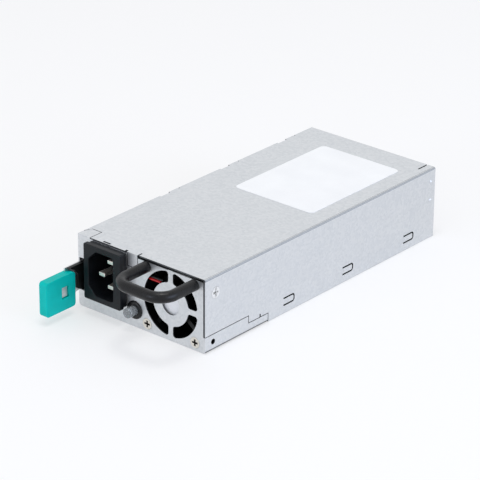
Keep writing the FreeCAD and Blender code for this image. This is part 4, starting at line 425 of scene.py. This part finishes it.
def rounded(form, width_mm, segments=2):
    """Bevels every sharp edge of a form."""
    sharp = [edge for edge in form.edges
             if len(edge.link_faces) == 2 and edge.calc_face_angle(0) > SHARP]
    bmesh.ops.bevel(form, geom=sharp, offset=width_mm * MM, offset_type="OFFSET", affect="EDGES",
                    segments=segments, profile=0.5, material=-1, clamp_overlap=True, loop_slide=True)


def stands_for(form, node):
    """Turns a form into the piece that a node is seen as."""
    mesh = bpy.data.meshes.new(f"{node}_dressed")
    form.to_mesh(mesh)
    form.free()
    mesh.materials.append(finish_of(node))
    mesh.shade_smooth()
    mesh.set_sharp_from_angle(angle=SHARP)
    piece = bpy.data.objects.new(f"{node}_dressed", mesh)
    bpy.context.scene.collection.objects.link(piece)
    flat_first = piece.modifiers.new("flat faces stay flat", "WEIGHTED_NORMAL")
    flat_first.keep_sharp = True
    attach(piece, body_of_node[node])
    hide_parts(node)
    print(f"{node}: {len(mesh.polygons)} faces")
    return piece


# %% [markdown]
# The widths follow how each piece was made. Punched sheet is barely broken at its edges, moulded
# parts have a quarter of a millimetre from the tool, and the grip is rounded for the finger.

# %% Dress what can be seen
EDGES_MM = {
    "ac_inlet": 0.25, "inlet_blades": 0.25,
    "handle": 0.2, "latch_leaf": 0.12, "latch_arm": 0.25, "fan_frame": 0.15, "fan_rotor": 0.15,
    "latch_foot": 0.1, "latch_rivets": 0.15, "main_board": 0.1,
}
for name, width in EDGES_MM.items():
    dressed = merged_form(name)
    rounded(dressed, width)
    stands_for(dressed, name)

# %% [markdown]
# Folded sheet needs two more finishes. Every face that the punch sheared through the sheet is bare
# steel, darker than the zinc, and it is painted darker still: that painted shade draws the fine
# dark outline round each slot and seam. It is easy to find: narrower than the sheet is thick, and
# square to the sheet on two sides. The long bends are narrow strips as well, but they turn gently
# into their neighbours, and there the zinc is painted a little darker, a painted shade line along each
# fold.

# %% Folded sheet
SHEARED_MM = 0.9
LONG_MM = 8
FOLDED_EDGES_MM = {"chassis": 0.12, "cover": 0.12, "rear_panel": 0.1}
SQUARE = math.radians(60)


def edge_role(face):
    """The finish of a face of folded sheet: 0 for zinc, 1 where sheared (bare steel with painted
    shade) and 2 where bent (painted shade).
    """
    longest = max(edge.calc_length() for edge in face.edges)
    turns = [edge.calc_face_angle(0) for edge in face.edges]
    if face.calc_area() / longest > SHEARED_MM * MM or min(turns) < FLAT * 2:
        return 0
    if sum(turn > SQUARE for turn in turns) >= 2:
        return 1
    return 2 if longest > LONG_MM * MM else 0


for name, width in FOLDED_EDGES_MM.items():
    folded = merged_form(name)
    for face, role in [(face, edge_role(face)) for face in folded.faces]:
        face.material_index = role
    roles = [face.material_index for face in folded.faces]
    rounded(folded, width)
    finishes = stands_for(folded, name).data.materials
    # Finish 1 is the cut faces' painted shade, finish 2 the painted shade along the bends.
    finishes.append(cut_steel_with_painted_shade)
    finishes.append(painted_bend_shade)
    print(f"{name}: {roles.count(1)} sheared faces, {roles.count(2)} along bends")

# %% [markdown]
# The grip is moulded for the thumb, so its edges are far rounder than those of the other plastics
# and take four steps to look smooth. Labels, leads and plated contacts are the opposite: too thin,
# or too round already, for a bevel to show, so they are only merged and shaded. A wider bevel on
# the grip is simpler than modelling it again, and it keeps the grip's outline.

# %% Rounded grip and flat pieces
GRIP_ROUND_MM = 0.9
GRIP_STEPS = 4
UNBEVELLED = ("rating_label", "fan_label", "fan_lead_red", "fan_lead_black", "edge_contacts")
grip = merged_form("latch_grip")
rounded(grip, GRIP_ROUND_MM, GRIP_STEPS)
stands_for(grip, "latch_grip")

for name in UNBEVELLED:
    stands_for(merged_form(name), name)

# %% [markdown]
# The light pipe and its bush are small, round and close to the eye, so they are turned afresh
# with many steps: half a section, spun round the axis. The pipe ends in a raised ring round a
# shallow dish, which catches the light as a bright circle. The bush is a soft black ring.

# %% Turned pieces
ROUND_STEPS = 48
# Pairs of how far inside the outer radius and how far behind the front a corner lies.
DISH_DEPTH_MM = 0.42
PIPE_RIM_MM = ((1.1, 0.36), (0.75, 0.14), (0.6, 0.02), (0.45, 0), (0.2, 0.06), (0.05, 0.22), (0, 0.45))
BUSH_RIM_MM = ((0.9, 0), (0.45, 0.12), (0.13, 0.4), (0, 0.75), (0, 1.1), (1, 1.1))
BORE_GAP_MM = 0.1
BORE_LIP_MM = 0.15


def turned(node, section):
    """Spins a half section of (radius, depth behind the front) in mm about the node's axis."""
    low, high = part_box(node)
    axis = Vector(((low.x + high.x) / 2, low.y, (low.z + high.z) / 2))
    form = bmesh.new()
    verts = [form.verts.new(axis + Vector((radius, depth, 0)) * MM) for radius, depth in section]
    edges = [form.edges.new(pair) for pair in zip(verts, verts[1:])]
    bmesh.ops.spin(form, geom=verts + edges, cent=axis, axis=(0, 1, 0), angle=math.tau,
                   steps=ROUND_STEPS, use_merge=True)
    bmesh.ops.remove_doubles(form, verts=form.verts, dist=DOUBLES_MM * MM)
    bmesh.ops.recalc_face_normals(form, faces=form.faces)
    return form


pipe_low, pipe_high = [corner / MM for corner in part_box("light_pipe")]
pipe_radius = (pipe_high.x - pipe_low.x) / 2
pipe_long = pipe_high.y - pipe_low.y
pipe_section = [(pipe_radius - inside, depth) for inside, depth in PIPE_RIM_MM]
stands_for(turned("light_pipe", [
    (0, DISH_DEPTH_MM), *pipe_section, (pipe_radius, pipe_long), (0, pipe_long)]), "light_pipe")

bush_low, bush_high = [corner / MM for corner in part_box("light_bush")]
bush_radius = (bush_high.x - bush_low.x) / 2
bush_long = bush_high.y - bush_low.y
bore = pipe_radius + BORE_GAP_MM
bush_section = [(bush_radius - inside, depth) for inside, depth in BUSH_RIM_MM]
shank = bush_section[-1][0]
stands_for(turned("light_bush", [
    (bore, BORE_LIP_MM), (bore + BORE_LIP_MM, 0), *bush_section,
    (shank, bush_long), (bore, bush_long), (bore, BORE_LIP_MM)]), "light_bush")

# %% [markdown]
# A Phillips recess is a cross that narrows as it goes down. The head's flat face is taken out,
# a cross of twelve corners is laid in its plane, and the ring between the cross and the rim is
# bridged. Then the cross is drawn inwards twice, each time a little smaller, and closed. Cutting
# it with a Boolean modifier would give the same shape with less tidy faces. The recess has a
# darker finish of its own. It is painted shade, standing for the shade that falls deep in the cross.

# %% Screws with a cross recess
ARM_LONG = 0.62
ARM_HALF = 0.17
RECESS = ((0.35, 0.86), (1.35, 0.35))
SCREW_EDGE_MM = 0.14
HEAD_WITHIN_MM = 0.1
SCREWS = {"fan_screws": Vector((0, -1, 0)), "cover_screw": Vector((1, 0, 0))}
# Painted shade: this dark zinc stands for the shade that falls deep in the cross recess.
recess_painted_shade = bright_metal("painted_shade_in_the_recess", "#1E1C1A", "#4A4641", 0.6)


def cross_corners(centre, across, along, radius):
    """The twelve corners of a cross in the plane of a screw's head."""
    corners = []
    for quarter in range(4):
        turn = quarter * math.pi / 2
        one = math.cos(turn) * across + math.sin(turn) * along
        two = math.cos(turn) * along - math.sin(turn) * across
        for far, side in ((ARM_LONG, -ARM_HALF), (ARM_LONG, ARM_HALF), (ARM_HALF, ARM_HALF)):
            corners.append(centre + (one * far + two * side) * radius)
    return corners


def cut_recess(form, face, outward):
    """Sinks a cross recess into a screw's flat head."""
    centre = face.calc_center_median()
    rim = list(face.edges)
    radius = max((vert.co - centre).length for vert in face.verts)
    across = Vector((0, 0, 1)).cross(outward).normalized()
    along = outward.cross(across)
    bmesh.ops.delete(form, geom=[face], context="FACES_ONLY")
    verts = [form.verts.new(corner) for corner in cross_corners(centre, across, along, radius)]
    cross = [form.edges.new((vert, verts[(i + 1) % len(verts)])) for i, vert in enumerate(verts)]
    bmesh.ops.bridge_loops(form, edges=rim + cross)
    # The faces made below the head take finish 1, the recess's painted shade.
    deep = 0
    for depth_mm, share in RECESS:
        made = bmesh.ops.extrude_edge_only(form, edges=cross)["geom"]
        ring = [item for item in made if isinstance(item, bmesh.types.BMVert)]
        cross = [item for item in made if isinstance(item, bmesh.types.BMEdge)
                 and all(vert in ring for vert in item.verts)]
        bmesh.ops.translate(form, verts=ring, vec=outward * (deep - depth_mm) * MM)
        for face in {face for vert in ring for face in vert.link_faces}:
            face.material_index = 1
        deep = depth_mm
        floor_centre = centre - outward * depth_mm * MM
        bmesh.ops.scale(form, verts=ring, vec=(share,) * 3, space=Matrix.Translation(-floor_centre))
    for face in bmesh.ops.contextual_create(form, geom=cross)["faces"]:
        face.material_index = 1
    bmesh.ops.recalc_face_normals(form, faces=form.faces)


for name, outward in SCREWS.items():
    screws = merged_form(name)
    low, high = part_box(name)
    limit = max(low.dot(outward), high.dot(outward)) - HEAD_WITHIN_MM * MM
    heads = [face for face in screws.faces
             if face.normal.dot(outward) > 0.99
             and face.calc_center_median().dot(outward) > limit]
    for head in heads:
        cut_recess(screws, head, outward)
    rounded(screws, SCREW_EDGE_MM)
    stands_for(screws, name).data.materials.append(recess_painted_shade)
    print(f"{name}: {len(heads)} cross recesses")

# %% [markdown]
# The camera stands to the right of the inlet end, a little above, far away with a long lens, so
# the case's long edges barely converge.

# %% Camera
CAMERA_TURN = 0.70305
CAMERA_RISE = 0.43091
CAMERA_ROLL = 0.00677
CAMERA_PLACE_MM = (829.36, -996.05, 612.65)
SENSOR_MM = 36
LENS_MM = 202.676
NEAREST_M = 0.05
camera_data = bpy.data.cameras.new("camera")
camera = bpy.data.objects.new("camera", camera_data)
bpy.context.scene.collection.objects.link(camera)
camera.matrix_world = (
    Matrix.Translation(Vector(CAMERA_PLACE_MM) * MM) @ Matrix.Rotation(CAMERA_TURN, 4, "Z")
    @ Matrix.Rotation(math.pi / 2 - CAMERA_RISE, 4, "X") @ Matrix.Rotation(CAMERA_ROLL, 4, "Z"))
camera_data.sensor_width = SENSOR_MM
camera_data.lens = LENS_MM
camera_data.clip_start = NEAREST_M
bpy.context.scene.camera = camera
print(f"lens {camera_data.lens:.0f} mm, {camera.matrix_world.translation.length:.2f} m away")

# %% [markdown]
# The light is a white tent with a soft lamp overhead, a larger, cooler one at the side and a weak
# one in front, set for this camera: seen from straight above, the lid burns out to white. What
# looks white behind the object is the world as the camera sees it, and as metal and clear plastic
# show it. Its light on other surfaces stays at a plain level, so a colour comes out about as it is
# written.

# %% Studio
scene = bpy.context.scene
scene.view_settings.view_transform = "Standard"


def shown_white(tree):
    """1 for a ray from the camera, off metal or through clear plastic, and 0 for all others."""
    path = add(tree, "LightPath")
    mirrored = add(tree, "Math", {"operation": "MAXIMUM"}, path.outputs["Is Glossy Ray"],
                   path.outputs["Is Transmission Ray"])
    return add(tree, "Math", {"operation": "MAXIMUM"}, path.outputs["Is Camera Ray"], mirrored)


TENT_LEVEL = 0.7
# Name, place and side in metres, power in watts, colour.
LAMPS = (
    ("overhead", (0.1, -0.1, 1.2), 0.35, 3.6, "#FFFEFA"),
    ("side_fill", (1.4, 0.1, 0.35), 0.9, 10, "#CFDFFF"),
    ("front_fill", (-0.2, -1.4, 0.4), 0.6, 3.0, "#DCE7FF"),
)
world = bpy.data.worlds.new("white_tent")
scene.world = world
world.use_nodes = True
tent = world.node_tree
strength = add(tent, "MapRange", None, shown_white(tent), To_Min=TENT_LEVEL, To_Max=1.0)
wire(tent.nodes["Background"], Color=linear("#FCFDFF"), Strength=strength)


def soft_lamp(name, place, side, power, colour):
    """A square lamp at a place in metres, turned towards the case."""
    data = bpy.data.lights.new(name, "AREA")
    data.size = side
    data.energy = power
    data.color = linear(colour)[:3]
    lamp = bpy.data.objects.new(name, data)
    scene.collection.objects.link(lamp)
    lamp.location = place
    lamp.rotation_euler = (lamp.location - middle("cover")).to_track_quat("Z", "Y").to_euler()


for lamp in LAMPS:
    soft_lamp(*lamp)
print(f"{len(LAMPS)} lamps in the tent")

# %% [markdown]
# The table is a plain white sheet. It glows a little for the camera and for mirrored rays, which
# lifts it to the tent's white and still lets the case's shadow through.

# %% Table
TABLE_GLOW = 0.5
TABLE_SIZE_M = 4
TABLE_BELOW_MM = 0.2
form = bmesh.new()
bmesh.ops.create_grid(form, x_segments=1, y_segments=1, size=TABLE_SIZE_M)
bmesh.ops.translate(form, verts=form.verts, vec=(0, 0, cad_box[0][2] - TABLE_BELOW_MM * MM))
table_mesh = bpy.data.meshes.new("table")
form.to_mesh(table_mesh)
form.free()
table = bpy.data.objects.new("table", table_mesh)
scene.collection.objects.link(table)
table_white, table_tree, table_shader = new_material("white_card", Roughness=0.7)
wire(table_shader, Base_Color=linear("#F6F6F8"))
share = add(table_tree, "Math", {"operation": "MULTIPLY"}, shown_white(table_tree), TABLE_GLOW)
glow = add(table_tree, "Emission", None, linear("#FFFFFF"), 1.0)
wire(table_tree.nodes["Material Output"],
     add(table_tree, "MixShader", None, share, table_shader, glow))
table_mesh.materials.append(table_white)
print(f"table {TABLE_BELOW_MM} mm below the case")
